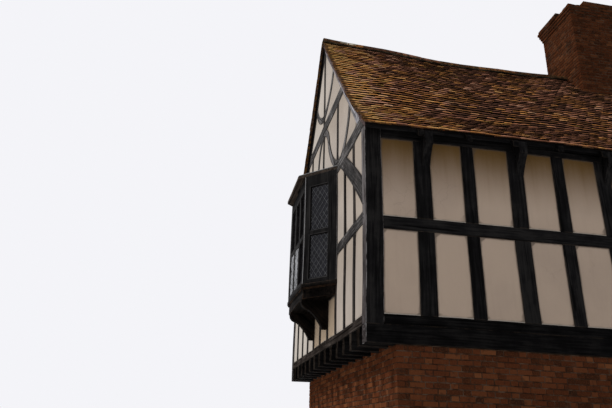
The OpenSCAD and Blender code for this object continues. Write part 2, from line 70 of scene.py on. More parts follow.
# How far the old house has settled
STEADY_Z = 0.6
SAG_Y = FRONT_Y + 3.15
SAG_FRONT, SAG_REAR = 2.7, 6.2
SAG_DEPTH = 0.16
ROOF_DROP = 0.012
RIDGE_DROP = 0.03
END_REACH = 0.55
HOLLOW_DEPTH = 0.007
HOLLOW_RISE = 6
HOLLOWS = {"seed": 14, "u_rates": (-2.6, 2.6), "v_rates": (2.0, 6.5), "count": 9, "size": 4.5}

# Timber
HEWN_STEP, ORIEL_STEP = 0.12, 0.1
ARRIS = 0.007
EDGE_BAND = 0.022
GABLE_REACH = 0.25
# Arrises beside the glass and on the oriel's far corner show far less wear and painted highlight
DULL_REACH = 0.075
DULL_X = -0.4
DULL_SHARE = 0.12
SHARP = math.radians(24)
SMOOTH = math.radians(28)
WELD = 1e-5
NEAR = 1e-3

# Plaster panels
PANEL_STEP = 0.1
PANEL_BULGE = 0.006
PANEL_LEAN = 0.002
BULGE_REACH = 0.14

# Bricks, as length, depth, height and joints
STRETCHER = 0.215
HEADER = 0.1025
CLOSER = 0.046
JOINT = 0.010
COURSE = 0.0765
BED = 0.011
BRICK_ARRIS = 0.005
BRICK_SHIFT, BRICK_RISE, BRICK_LOSS, BRICK_SUNK = 0.0015, 0.002, 0.003, 0.003
BRICK_ROUGH = 0.0009
INFILL_GAP = 0.002
RECESS = 0.007
CORE_STEP = 0.6
STACK_FROM = 1.4
CHIP_STEP = 0.09
CHIP_ROUGH = 0.012

# Roof tiles, as they were made
TILE_W = 0.165
TILE_L = 0.285
UNDER_TILE_L = 0.17
TILE_T = 0.015
TILE_GAP = 0.004
TILE_LAP = 0.001
GAUGE = 0.128
TOP_GAP, TOP_LAP = 0.02, 0.012
STACK_LAP = 0.03
CAMBER = (0.001, 0.0045)

# Roof tiles, as they lie now
TILE_SHIFT = 0.006
VERGE_SHIFT = 0.016
TAIL_RIPPLE, TAIL_SHIFT = 0.013, 0.0045
SLIPPED_SHARE = 0.02
SLIP = (0.015, 0.045)
SUNK, SUNK_RIPPLE = 0.0125, 0.0045
RAFTER_STEP, RAFTER_DIP = 0.62, 0.006
LIFT = (-0.003, 0.004)
TWIST = 0.0022
SKEW = 0.0035

# Verges and the boards under the tiles
LEFT_VERGE_LOW, LEFT_VERGE_HIGH = 0.06, 0.025
BEDDING_STEP = 0.14
BEDDING_DEEP = 0.13
BEDDING_LOW, BEDDING_HIGH, BEDDING_TOP = -0.056, -0.04, -0.03
BEDDING_IN, BEDDING_ROUGH, BEDDING_RIPPLE = 0.002, 0.006, 0.004
LINING_STEP = 0.3
LINING_AT = 0.058
LINING_FOOT = 0.03
LINING_END = 0.02

# Ridge tiles
RIDGE_PIECE = 0.45
RIDGE_LAP = 0.02
RIDGE_GAP = 0.006
RIDGE_IN, RIDGE_BED_IN, PATCH_OUT = 0.003, 0.012, 0.001
RIDGE_LOW = (-0.007, -0.001)
RIDGE_TILT, RIDGE_SKEW = 0.004, 0.005
RIDGE_T = 0.014
RIDGE_BED_T = 0.03
RIDGE_PATCH_T = 0.012
RIDGE_STEPS = 12
RIDGE_DROOP = math.radians(5)
RIDGE_BED_DROOP = math.radians(20)
PATCH_DROOP = math.radians(-4)
RIDGE_PATCHES = ((0.86, 0.07), (1.03, 0.09), (1.3, 0.13), (1.52, 0.05))
RIDGE_SMOOTH = math.radians(35)

# Leaded lights
QUARRY_W = 0.105
QUARRY_H = 0.145
SMALLEST_QUARRY = 2e-4
GLASS_LEAN = 0.014
GLASS_T = 0.003
CAME = 0.0045
CAME_T = 0.0042
EDGE_CAME, EDGE_INSET = 0.007, 0.004
SHORTEST_CAME = 0.02
SOLDER_R, SOLDER_TOP_R, SOLDER_OUT = 0.0075, 0.004, 0.0008
SOLDER_CLEAR = 0.01
BEAD = 0.016
BEAD_OUT = 0.004
BEAD_WORN = 0.12
CASEMENT_OUT = 0.026

# Pegs and floor boards
PEG_R = 0.012
PEG_OUT, PEG_DEEP = 0.007, 0.03
PEG_SIDES = 7
PEG_INSET, PEG_SHIFT = 0.05, 0.03
PEG_ROOM = 0.008
PEG_VIEW = 0.2
BOARD_W = 0.22
BOARD_GAP = 0.0015
BOARD_ARRIS = 0.002


# The settled house: one field bends every piece, so that pieces stay seated

def waves(seed, count, per_metre, size):
    """Random wave vectors, phases and pushes for a smooth field."""
    rng = np.random.default_rng(seed)
    vectors = rng.normal(size=(count, 3))
    vectors *= 2 * math.pi * per_metre / np.linalg.norm(vectors, axis=1)[:, None]
    pushes = rng.normal(size=(count, 3)) * size / math.sqrt(count)
    return vectors, rng.uniform(0, 2 * math.pi, count), pushes


FIELD = [waves(11, 10, 0.16, 0.011), waves(12, 12, 0.45, 0.0055), waves(13, 14, 1.6, 0.0016)]


def ripple(u, v, seed, u_rates=(0.8, 4.5), v_rates=(-2.2, 2.2), count=7, size=4.2):
    """A smooth waviness over u and v, from about -1 to 1."""
    rng = np.random.default_rng(seed)
    total = 0.0
    for _ in range(count):
        a, b, phase = rng.uniform(*u_rates), rng.uniform(*v_rates), rng.uniform(0, 6.28)
        total = total + np.sin(a * u + b * v + phase)
    return total / size


def eased(share):
    """From 0 to 1 with level ends."""
    share = np.clip(share, 0, 1)
    return share * share * (3 - 2 * share)


def between_gables(y):
    """1 along the house and 0 at both gables."""
    return eased((y - FRONT_Y) / END_REACH) * eased((REAR_Y - y) / END_REACH)


def settled(points, sags=True):
    """Where points of the straight model lie in the old house; the chimney stands free of the roof's sag."""
    points = np.asarray(points, float)
    flat = points.reshape(-1, 3)
    x, y, z = flat.T
    moved = flat.copy()
    steady = np.clip(z[:, None] / STEADY_Z, 0, 1)
    for vectors, phases, pushes in FIELD:
        moved += steady * (np.sin(flat @ vectors.T + phases) @ pushes)
    if sags:
        rise = np.clip((z - EAVES_Z) / (ROOF.ridge[1] - EAVES_Z), 0, 1)
        offset = y - SAG_Y
        share = np.clip(offset / np.where(offset < 0, SAG_FRONT, SAG_REAR), -1, 1)
        moved[:, 2] -= SAG_DEPTH * rise * (0.5 + 0.5 * np.cos(math.pi * share))
        loose = HOLLOW_DEPTH * np.clip(HOLLOW_RISE * rise, 0, 1) * ripple(np.abs(x), y, **HOLLOWS)
        moved[:, 2] += between_gables(y) * (loose - ROOF_DROP * rise)
    moved = np.clip(moved, np.array(CAD_LOW), np.array(CAD_HIGH))
    return moved.reshape(points.shape)


def outward(way):
    """The way out of a slope in x and z, from the way up it."""
    return np.stack([way[..., 1], -way[..., 0]], -1)


class Roof:
    """Lines of the covering's face on the right slope, in x and z: eaves, knee of the flare and ridge."""

    def __init__(self):
        low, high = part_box("roof_right")
        self.front, self.rear = low.y, high.y
        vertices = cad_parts["roof_right"].data.vertices
        line = {(round(v.co.x, 4), round(v.co.z, 4)) for v in vertices if abs(v.co.y - low.y) < 1e-4}
        inside = [p for p in line if 0.001 < p[0] < high.x - 0.001]
        self.ridge = np.array(max(line, key=lambda p: p[1]))
        self.knee = np.array(max(inside, key=lambda p: p[0] + p[1]))
        self.eaves = np.array(max((p for p in line if p[0] > high.x - 0.001), key=lambda p: p[1]))
        self.flare = np.linalg.norm(self.knee - self.eaves)
        self.length = self.flare + np.linalg.norm(self.ridge - self.knee)
        self.flare_way = (self.knee - self.eaves) / self.flare
        self.main_way = (self.ridge - self.knee) / (self.length - self.flare)

    def place(self, side, up, along, out):
        """World points at distances up from the eaves, along y, and out from the covering's face."""
        up, along, out = np.broadcast_arrays(up, along, out)
        share = np.clip((up - self.flare) / 0.5 + 0.5, 0, 1)[..., None]
        way = self.flare_way * (1 - share) + self.main_way * share
        way = way / np.linalg.norm(way, axis=-1)[..., None]
        low = self.eaves + up[..., None] * self.flare_way
        high = self.knee + (up - self.flare)[..., None] * self.main_way
        base = np.where(up[..., None] < self.flare, low, high) + out[..., None] * outward(way)
        return np.stack([side * base[..., 0], along, base[..., 1]], -1)


ROOF = Roof()


# Meshes

def stacked(rings, sides):
    """Faces of a closed solid made of rings of points in a row, with a cap at both ends."""
    faces = [list(range(sides))[::-1]]
    for low in range(0, (rings - 1) * sides, sides):
        for i in range(sides):
            k = (i + 1) % sides
            faces.append([low + i, low + k, low + sides + k, low + sides + i])
    return faces + [[(rings - 1) * sides + i for i in range(sides)]]


BOX_FACES = stacked(2, 4)
BRICK_FACES = stacked(3, 4)


class Mass:
    """Many small closed solids gathered into one mesh, with values for their points and faces."""

    def __init__(self):
        self.points, self.faces, self.slots = [], [], []
        self.values, self.marks = {}, {}
        self.total = 0

    def add(self, points, faces, material=0, marks=None, **values):
        """points is (n, m, 3), for n solids of m points; faces index the m points of one solid."""
        points = np.asarray(points, float)
        if points.ndim == 2:
            points = points[None]
        n, m = points.shape[:2]
        self.points.append(points.reshape(-1, 3))
        for start in range(self.total, self.total + n * m, m):
            self.faces.extend([start + i for i in face] for face in faces)
        self.slots.extend([material] * (n * len(faces)))
        for key, value in values.items():
            value = np.asarray(value, float)
            shape = value.reshape(n, 1) if value.shape == (n,) else value
            self.values.setdefault(key, []).append(np.broadcast_to(shape, (n, m)).ravel())
        for key, value in (marks or {}).items():
            self.marks.setdefault(key, []).extend(list(value) * n)
        self.total += n * m

    def mesh(self, name, sags=True):
        mesh = bpy.data.meshes.new(name)
        mesh.from_pydata(settled(np.concatenate(self.points), sags).tolist(), [], self.faces)
        for key, parts in self.values.items():
            mesh.attributes.new(key, "FLOAT", "POINT").data.foreach_set("value", np.concatenate(parts))
        for key, marks in self.marks.items():
            mesh.attributes.new(key, "FLOAT", "FACE").data.foreach_set("value", marks)
        mesh.polygons.foreach_set("material_index", self.slots)
        bm = bmesh.new()
        bm.from_mesh(mesh)
        bmesh.ops.recalc_face_normals(bm, faces=bm.faces)
        bm.to_mesh(mesh)
        bm.free()
        return mesh


def corners_of(x0, y0, x1, y1, inset=0.0):
    """The corners of a rectangle in order round it; its values may be arrays."""
    x0, y0, x1, y1 = x0 + inset, y0 + inset, x1 - inset, y1 - inset
    return [(x0, y0), (x1, y0), (x1, y1), (x0, y1)]


def around(corners):
    """Each corner with the next one, round to the first."""
    return zip(corners, corners[1:] + corners[:1])


def put(name, data):
    """Adds an object to the scene."""
    thing = bpy.data.objects.new(name, data)
    bpy.context.scene.collection.objects.link(thing)
    return thing


def add_piece(name, mesh, materials, slot, *nodes, smooth=None):
    """Puts a mesh in the scene as a piece of the house that stands for some CAD nodes."""
    for material in materials:
        mesh.materials.append(material)
    if smooth:
        mesh.shade_smooth()
        mesh.set_sharp_from_angle(angle=smooth)
    piece = put(name, mesh)
    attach(piece, "root")
    if nodes:
        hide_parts(*nodes)


def coords(vertices):
    """The places of some vertices, one in each row."""
    return np.array([v.co for v in vertices])


def welded(node):
    """A CAD node's mesh with its faces joined up and its flat faces whole."""
    bm = bmesh.new()
    bm.from_mesh(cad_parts[node].data)
    bmesh.ops.remove_doubles(bm, verts=bm.verts, dist=WELD)
    bmesh.ops.dissolve_limit(bm, angle_limit=math.radians(0.4), verts=bm.verts, edges=bm.edges)
    return bm


def solids(bm):
    """The separate solids of a mesh, each as a list of its vertices."""
    found, seen = [], set()
    for start in bm.verts:
        if start in seen:
            continue
        seen.add(start)
        part, front = [start], [start]
        while front:
            vertex = front.pop()
            for edge in vertex.link_edges:
                other = edge.other_vert(vertex)
                if other not in seen:
                    seen.add(other)
                    part.append(other)
                    front.append(other)
        found.append(part)
    return found


def slice_up(bm, step):
    """Cuts all faces by planes across x, y and z, a step apart."""
    corners = coords(bm.verts)
    for axis, normal in enumerate(np.eye(3)):
        low, high = corners[:, axis].min(), corners[:, axis].max()
        for i in range(math.ceil(low / step), math.floor(high / step) + 1):
            if low + 0.01 < i * step < high - 0.01:
                everything = bm.verts[:] + bm.edges[:] + bm.faces[:]
                bmesh.ops.bisect_plane(bm, geom=everything, dist=WELD, plane_co=i * step * normal,
                                       plane_no=normal)


def worn_arrises(bm, width, level):
    """Takes off the sharp edges of every solid and marks the narrow faces this makes, level ones less."""
    mark = bm.faces.layers.float.new("arris")
    for part in solids(bm):
        edges = {e for v in part for e in v.link_edges}
        sharp = [e for e in edges if e.is_manifold and abs(e.calc_face_angle(0)) > SHARP]
        made = bmesh.ops.bevel(bm, geom=sharp, offset=width, offset_type="OFFSET", segments=1,
                               profile=0.5, affect="EDGES", clamp_overlap=True)
        for face in made["faces"]:
            face.normal_update()
            face[mark] = 1.0 if abs(face.normal.z) < 0.3 else level


def grain_lines(bm, seed):
    """Writes for every vertex its place along and across its own timber, and a tone for the timber."""
    rng = np.random.default_rng(seed)
    grain = bm.verts.layers.float_vector.new("grain")
    tone = bm.verts.layers.float.new("tone")
    for part in solids(bm):
        places = coords(part)
        centred = places - places.mean(0)
        axes = np.linalg.eigh(centred.T @ centred)[1][:, ::-1]
        shift = rng.uniform(-20, 20, 3)
        shade = rng.uniform()
        for vertex, place in zip(part, centred @ axes + shift):
            vertex[grain] = place
            vertex[tone] = shade


def to_mesh(bm, name):
    """The settled mesh of a bmesh."""
    for vertex, point in zip(bm.verts, settled(coords(bm.verts))):
        vertex.co = point
    bmesh.ops.recalc_face_normals(bm, faces=bm.faces)
    mesh = bpy.data.meshes.new(name)
    bm.to_mesh(mesh)
    bm.free()
    return mesh


def edge_bands(bm):
    """Rings every face that looks along y, so that its rim can be told from its middle."""
    edge = bm.verts.layers.float.new("edge")
    wide = [f for f in bm.faces if abs(f.normal.y) > 0.9 and f.calc_area() > 0.01]
    for vertex in {v for f in wide for v in f.verts}:
        vertex[edge] = 1.0
    bmesh.ops.inset_individual(bm, faces=wide, thickness=EDGE_BAND, use_even_offset=True)
    for vertex in {v for f in wide for v in f.verts}:
        vertex[edge] = 0.0


def segment_distance(points, starts, ends):
    """Distance of each point from the nearest of some segments."""
    ways = ends - starts
    spans = np.maximum((ways ** 2).sum(1), 1e-12)
    offsets = points[:, None] - starts[None]
    shares = np.clip((offsets * ways).sum(2) / spans, 0, 1)
    return np.linalg.norm(offsets - shares[..., None] * ways, axis=2).min(1)


def dulled_arrises(bm, segments):
    """Makes the pale arrises beside the glass and on the far corner much fainter, with less wear and less
    painted highlight there.
    """
    mark = bm.faces.layers.float["arris"]
    starts, ends = np.array(segments).swapaxes(0, 1)
    for face in bm.faces:
        centre = np.array(face.calc_center_median())
        if centre[0] < DULL_X or segment_distance(centre[None], starts, ends)[0] < DULL_REACH:
            face[mark] *= DULL_SHARE


def hewn(node, material, slot, seed, step=HEWN_STEP, arris=ARRIS, gable=None, level=1.0, dull_near=None):
    """Stands a worn and settled timber piece in the place of a CAD node; gable is for faces along y."""
    bm = welded(node)
    if gable:
        edge_bands(bm)
    worn_arrises(bm, arris, level)
    if dull_near:
        dulled_arrises(bm, dull_near)
    slice_up(bm, step)
    grain_lines(bm, seed)
    bm.normal_update()
    for face in bm.faces:
        y = face.calc_center_median().y
        outside = min(abs(y - FRONT_Y), abs(y - REAR_Y)) < GABLE_REACH
        face.material_index = int(bool(gable) and outside and abs(face.normal.y) > 0.6)
    materials = [material, gable] if gable else [material]
    add_piece(node + "_hewn", to_mesh(bm, node), materials, slot, node, smooth=SMOOTH)


# Materials

def scaled(colour, share):
    return tuple(share * c for c in colour)


class Finish:
    """A procedural material, written as calls that each add one node."""

    def __init__(self, name, roughness, specular, metallic=0.0):
        self.material = bpy.data.materials.new(name)
        self.material.use_nodes = True
        self.tree = self.material.node_tree
        self.shader = self.tree.nodes["Principled BSDF"]
        self.shader.inputs["Roughness"].default_value = roughness
        self.shader.inputs["Specular IOR Level"].default_value = specular
        self.shader.inputs["Metallic"].default_value = metallic
        self.place = self.add("TexCoord").outputs["Object"]

    def add(self, kind, *values, **settings):
        node = self.tree.nodes.new("ShaderNode" + kind)
        for key, value in settings.items():
            setattr(node, key, value)
        for socket, value in zip(node.inputs, values):
            self.give(socket, value)
        return node

    def give(self, socket, value):
        if isinstance(value, bpy.types.NodeSocket):
            self.tree.links.new(value, socket)
        else:
            socket.default_value = value

    def attribute(self, name, output="Fac"):
        return self.add("Attribute", attribute_name=name).outputs[output]

    def stretch(self, vector, x, y, z):
        return self.add("VectorMath", vector, (x, y, z), operation="MULTIPLY").outputs[0]

    def noise(self, vector, scale, detail=4.0, rough=0.55, warp=0.0):
        node = self.add("TexNoise")
        for key, value in (("Vector", vector), ("Scale", scale), ("Detail", detail),
                           ("Roughness", rough), ("Distortion", warp)):
            self.give(node.inputs[key], value)
        return node.outputs["Fac"]

    def crack(self, scale):
        """Distance from a net of wandering lines."""
        wander = self.stretch(self.add("TexNoise", self.place).outputs["Color"], 0.3, 0.3, 0.3)
        moved = self.add("VectorMath", self.place, wander, operation="ADD").outputs[0]
        net = self.add("TexVoronoi", feature="DISTANCE_TO_EDGE")
        self.give(net.inputs["Vector"], moved)
        self.give(net.inputs["Scale"], scale)
        return net.outputs["Distance"]

    def math(self, operation, a, b):
        return self.add("Math", a, b, operation=operation).outputs[0]

    def plus(self, a, b):
        return self.math("ADD", a, b)

    def minus(self, a, b):
        return self.math("SUBTRACT", a, b)

    def times(self, a, b):
        return self.math("MULTIPLY", a, b)

    def swing(self, value, size):
        """A value from 0 to 1 as one that swings about 0, this much from end to end."""
        return self.times(self.minus(value, 0.5), size)

    def span(self, value, low, high, to_low=0.0, to_high=1.0):
        node = self.add("MapRange", value, low, high, to_low, to_high, interpolation_type="SMOOTHSTEP")
        return node.outputs[0]

    def over(self, colour, *layers):
        """A colour with others laid over it in turn, each by its own share."""
        for share, layer in layers:
            node = self.add("Mix", data_type="RGBA", blend_type="MIX")
            for index, value in ((0, share), (6, colour), (7, layer)):
                self.give(node.inputs[index], (*value, 1.0) if isinstance(value, tuple) else value)
            colour = node.outputs[2]
        return colour

    def ramp(self, value, *stops):
        node = self.add("ValToRGB", value)
        elements = node.color_ramp.elements
        while len(elements) < len(stops):
            elements.new(0.5)
        for element, (position, colour) in zip(elements, stops):
            element.position = position
            element.color = (*colour, 1.0)
        return node.outputs["Color"]

    def relief(self, *layers):
        """Bump from pairs of a height and its depth in metres."""
        normal = None
        for height, depth in layers:
            node = self.add("Bump")
            node.inputs["Distance"].default_value = depth
            self.give(node.inputs["Height"], height)
            if normal:
                self.give(node.inputs["Normal"], normal)
            normal = node.outputs["Normal"]
        self.give(self.shader.inputs["Normal"], normal)

    def end(self, colour, roughness=None):
        self.give(self.shader.inputs["Base Color"], colour)
        if roughness:
            self.give(self.shader.inputs["Roughness"], roughness)
        return self.material


def oak(name, shades, arris_colour, arris_share, rim=0.0, specular=0.03, bare=0.38, paler=None):
    """Weathered oak: streaks along the grain, shakes, paler arrises that are wear and on some timbers painted
    highlight, and a dark rim beside plaster that is old black paint and dirt with painted shade of the gap.
    """
    f = Finish(name, 0.8, specular)
    dark, middle, light = shades
    grain = f.attribute("grain", "Vector")
    streaks = f.noise(f.stretch(grain, 1.6, 34, 34), 1.0, 6, 0.62, 0.4)
    fibres = f.noise(f.stretch(grain, 6, 170, 170), 1.0, 3)
    blotches = f.noise(f.place, 2.6, 5, 0.65)
    shakes = f.span(f.noise(f.stretch(grain, 0.55, 19, 19), 1.0, 3, 0.5, 0.6), 0.34, 0.40)
    shade = f.plus(f.times(streaks, 0.55), f.times(blotches, 0.45))
    shade = f.plus(shade, f.swing(f.attribute("tone"), 0.12))
    if paler:
        height = f.add("SeparateXYZ", f.place).outputs["Z"]
        shade = f.plus(shade, f.span(height, *paler))
    colour = f.ramp(shade, (0.4, dark), (0.5, middle), (0.59, light))
    colour = f.over(colour, (f.minus(1.0, shakes), scaled(dark, 0.35)))
    patch = f.noise(f.place, 7, 4)
    # the dark rim: old black paint and dirt, with painted shade of the gap beside the plaster
    if rim:
        reach = f.plus(f.attribute("edge"), f.swing(patch, 0.9))
        colour = f.over(colour, (f.span(reach, 0.3, 0.8, 0.0, rim), (0.006, 0.005, 0.005)))
    # paler arrises: wear, and on the oriel frame and gable rafters partly painted highlight
    worn_and_highlit = f.times(f.attribute("arris"), f.span(patch, bare, bare + 0.24, 0.0, arris_share))
    f.relief((shakes, 0.006), (streaks, 0.004), (fibres, 0.0012))
    return f.end(f.over(colour, (worn_and_highlit, arris_colour)), f.span(streaks, 0.3, 0.7, 0.9, 0.62))


# Painted light on the gable plaster: paler towards the left, and a warm tan under the oriel, painted bounce
# light in the oriel's shadow
PAINTED_LEFT_LIGHT_FROM_X, PAINTED_LEFT_LIGHT_TO_X = -1.6, 1.6
PAINTED_LEFT_LIGHT = (0.47, 0.43, 0.39)
PAINTED_BOUNCE = (0.56, 0.43, 0.31)
PAINTED_BOUNCE_LEFT = -0.55
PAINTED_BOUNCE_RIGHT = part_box("oriel_base")[1].x - 0.05
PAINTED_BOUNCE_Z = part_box("oriel_base")[0].z
PAINTED_BOUNCE_FADE = 0.1
PAINTED_BOUNCE_DROP = 0.15


def lime(name, clean, grey, stain_and_shade, stain_and_shade_share, reach, gable=False):
    """Lime plaster: trowel marks, hair cracks, dirt and painted shade along the rim, a painted highlight
    along the foot, staining that fades down from the top, on the side walls partly painted shade under the
    eaves, and on the gable painted light.
    """
    f = Finish(name, 0.9, 0.15)
    broad = f.noise(f.place, 0.9, 5, 0.55)
    trowel = f.noise(f.stretch(f.place, 1.0, 1.0, 0.55), 5.5, 4, 0.5, 0.9)
    grit = f.noise(f.place, 190, 2)
    runs = f.noise(f.stretch(f.place, 9, 9, 0.5), 1.0, 4, 0.6)
    colour = f.over(clean, (f.span(broad, 0.35, 0.68), grey))
    if gable:
        x, y, z = f.add("SeparateXYZ", f.place).outputs
        below = f.times(f.span(z, PAINTED_BOUNCE_Z, PAINTED_BOUNCE_Z + PAINTED_BOUNCE_DROP, 1.0, 0.0), f.span(y, -1.0, 0.0, 1.0, 0.0))
        beside = f.times(f.span(x, PAINTED_BOUNCE_LEFT - PAINTED_BOUNCE_FADE, PAINTED_BOUNCE_LEFT),
                         f.span(x, PAINTED_BOUNCE_RIGHT - PAINTED_BOUNCE_FADE, PAINTED_BOUNCE_RIGHT, 1.0, 0.0))
        # painted light: paler towards the left, and warm tan bounce light in the oriel's shadow
        colour = f.over(colour, (f.span(x, PAINTED_LEFT_LIGHT_FROM_X, PAINTED_LEFT_LIGHT_TO_X, 1.0, 0.0), PAINTED_LEFT_LIGHT),
                        (f.times(below, beside), PAINTED_BOUNCE))
    depth = f.plus(f.attribute("under"), f.swing(runs, 0.25))
    wander = f.plus(f.attribute("rim"), f.swing(trowel, 0.03))
    hair = f.times(f.span(f.crack(1.7), 0.0, 0.006, 1.0, 0.0), f.span(broad, 0.5, 0.62))
    colour = f.over(colour, (f.span(runs, 0.5, 0.75, 0.0, 0.2), scaled(grey, 0.8)),
                    # staining down from the top; on the side walls, measured from the wall plate, it is also
                    # painted shade under the eaves
                    (f.span(depth, 0.0, reach, stain_and_shade_share, 0.0), stain_and_shade),
                    # dirt and painted shade: a dark band along each panel's rim, where the panel meets the
                    # timber
                    (f.span(wander, 0.0, 0.03, 0.7, 0.0), (0.07, 0.055, 0.045)),
                    # painted highlight: a pale line along the foot of each panel
                    (f.span(f.attribute("foot"), 0.004, 0.02, 0.5, 0.0), (0.66, 0.62, 0.56)),
                    (f.times(hair, 0.18), (0.1, 0.085, 0.07)))
    f.relief((f.times(hair, -1.0), 0.002), (trowel, 0.006), (grit, 0.0008))
    return f.end(colour)


def fired_brick(name, shade=1.0):
    """Hand made bricks: brown reds, a few orange or burnt ones, soot and a little lime bloom."""
    f = Finish(name, 0.85, 0.0)
    clays = ((0.0, (0.020, 0.010, 0.007)), (0.14, (0.040, 0.014, 0.007)), (0.45, (0.078, 0.023, 0.010)),
             (0.75, (0.108, 0.036, 0.015)), (1.0, (0.16, 0.060, 0.025)))
    body = f.ramp(f.attribute("tone"), *((at, scaled(clay, shade)) for at, clay in clays))
    speck = f.noise(f.place, 60, 5, 0.65)
    patch = f.noise(f.place, 11, 4)
    bloom = f.noise(f.place, 3.2, 6, 0.65)
    f.relief((patch, 0.004), (speck, 0.002))
    return f.end(f.over(body, (f.span(speck, 0.4, 0.75, 0.0, 0.5), (0.14, 0.05, 0.021)),
                        (f.span(patch, 0.52, 0.75, 0.0, 0.6), (0.018, 0.013, 0.010)),
                        (f.span(bloom, 0.58, 0.76, 0.0, 0.14), (0.19, 0.14, 0.10))))


def bedding(name, dark, middle, light):
    """Lime mortar between bricks, under ridge tiles and along the verges."""
    f = Finish(name, 0.95, 0.0)
    sand = f.noise(f.place, 150, 4, 0.7)
    patch = f.noise(f.place, 6.5, 6, 0.65)
    colour = f.ramp(patch, (0.38, dark), (0.5, middle), (0.62, light))
    f.relief((patch, 0.004), (sand, 0.002))
    return f.end(f.over(colour, (f.span(sand, 0.55, 0.8, 0.0, 0.5), dark)))


def clay_tile(name, soot=0.0):
    """Old clay tiles: brown, orange and pink, with painted shadow on the upper part of each tile where the
    tile above shades it, dampness there too, and painted shade on tails and sides.
    """
    f = Finish(name, 0.85, 0.0)
    tone = f.attribute("tone")
    growth = f.attribute("growth")
    orange = f.ramp(tone, (0.0, (0.08, 0.038, 0.02)), (0.3, (0.21, 0.088, 0.038)),
                    (0.6, (0.52, 0.21, 0.068)), (0.8, (0.8, 0.35, 0.105)), (1.0, (0.92, 0.5, 0.19)))
    pink = f.ramp(tone, (0.0, (0.08, 0.038, 0.026)), (0.3, (0.19, 0.08, 0.052)),
                  (0.6, (0.44, 0.18, 0.108)), (0.8, (0.66, 0.3, 0.185)), (1.0, (0.76, 0.42, 0.27)))
    patch = f.noise(f.place, 9, 5, 0.6)
    speck = f.noise(f.place, 75, 4, 0.65)
    batch = f.plus(f.noise(f.place, 1.9, 5, 0.7), f.times(growth, 0.4))
    crust = f.plus(f.noise(f.place, 13, 5, 0.7), f.times(growth, 0.26))
    pale = f.plus(f.noise(f.stretch(f.place, 1, 1.2, 1), 29, 5, 0.7), f.times(growth, 0.1))
    grime = f.minus(f.noise(f.place, 1.1, 4, 0.6), f.times(growth, 0.2))
    ragged = f.swing(patch, 0.28)
    bright_tone = f.span(tone, 0.45, 0.9)
    # painted shadow: from about a third up each exposed face, under the tail of the tile above, the tile is
    # painted near black, with dampness there as well; light tones take a little less
    wet_and_shaded = f.minus(f.plus(f.attribute("cover"), ragged), f.times(bright_tone, 0.1))
    damp_and_shadow = f.span(wet_and_shaded, 0.3, 0.41, 0.0, 0.98)
    # painted shade with mossy dirt on the tail faces and verge sides, which face down or out
    moss_and_shade = f.times(f.attribute("tail"), f.minus(0.98, f.times(bright_tone, 0.09)))
    edge = f.span(f.plus(f.attribute("rim"), ragged), 0.15, 0.6, 0.0, 0.85)
    dark = f.times(f.math("MAXIMUM", damp_and_shadow, moss_and_shade), f.minus(1.0, f.times(edge, 0.7)))
    colour = f.over(pink, (f.span(batch, 0.5, 0.64), orange),
                    (f.span(patch, 0.5, 0.7, 0.0, 0.4), (0.045, 0.03, 0.02)),
                    (f.span(speck, 0.5, 0.8, 0.0, 0.4), (0.33, 0.17, 0.1)),
                    (f.span(crust, 0.68, 0.76, 0.0, 0.85), (0.6, 0.36, 0.09)),
                    (f.span(pale, 0.68, 0.75, 0.0, 0.8), (0.6, 0.5, 0.38)),
                    (f.span(grime, 0.5, 0.66, 0.0, 0.45), (0.03, 0.022, 0.016)),
                    (edge, (0.04, 0.017, 0.010)),
                    # the near black colour of the painted shadow and shade
                    (dark, (0.006, 0.0045, 0.0035)))
    if soot:
        colour = f.over(colour, (f.span(patch, 0.35, 0.6, 0.5 * soot, soot), (0.02, 0.019, 0.012)))
    f.relief((crust, 0.003), (speck, 0.0015))
    return f.end(colour, f.span(speck, 0.3, 0.7, 0.75, 0.95))


def sheet_lead(name, shade=1.0):
    """Weathered lead with a dull grey skin."""
    f = Finish(name, 0.5, 0.3, 0.2)
    patch = f.noise(f.place, 6, 5, 0.6)
    drip = f.noise(f.stretch(f.place, 30, 30, 3), 1.0, 4)
    dull, pale, bloom = (scaled(lead, shade) for lead in
                         ((0.09, 0.095, 0.105), (0.24, 0.25, 0.265), (0.4, 0.41, 0.42)))
    colour = f.ramp(patch, (0.3, dull), (0.7, pale))
    colour = f.over(colour, (f.span(drip, 0.5, 0.75, 0.0, 0.5), bloom))
    f.relief((patch, 0.002), (drip, 0.0006))
    return f.end(colour, f.span(patch, 0.3, 0.7, 0.38, 0.65))


def old_glass(name, specular, dark, light):
    """Dark, slightly wavy window glass with a little grime."""
    f = Finish(name, 0.07, specular)
    f.shader.inputs["IOR"].default_value = 1.5
    f.shader.inputs["Transmission Weight"].default_value = 0.2
    wave = f.noise(f.place, 14, 2)
    grime = f.noise(f.place, 5, 5, 0.65)
    colour = f.over(dark, (f.attribute("tone"), light),
                    (f.span(grime, 0.5, 0.75, 0.0, 0.4), scaled(light, 1.4)))
    f.relief((wave, 0.003))
    return f.end(colour, f.span(grime, 0.4, 0.75, 0.05, 0.3))


BLACK = ((0.003, 0.0028, 0.003), (0.0066, 0.0062, 0.0067), (0.0145, 0.0135, 0.0135))
DARK_OAK = oak("dark_oak", BLACK, (0.05, 0.038, 0.03), 0.5)
BEAM_OAK = oak("side_beam_oak", [scaled(shade, 0.6) for shade in BLACK], (0.04, 0.03, 0.022), 0.4,
               specular=0.015)
# oriel frame: black, with its pale vertical arrises partly painted highlight
FRAME_OAK = oak("oriel_oak", BLACK, (0.42, 0.41, 0.42), 1.0, bare=0.2)
CORNICE_OAK = oak("cornice_oak", ((0.010, 0.0075, 0.006), (0.026, 0.019, 0.0155), (0.055, 0.042, 0.034)),
                  (0.09, 0.06, 0.045), 0.8)
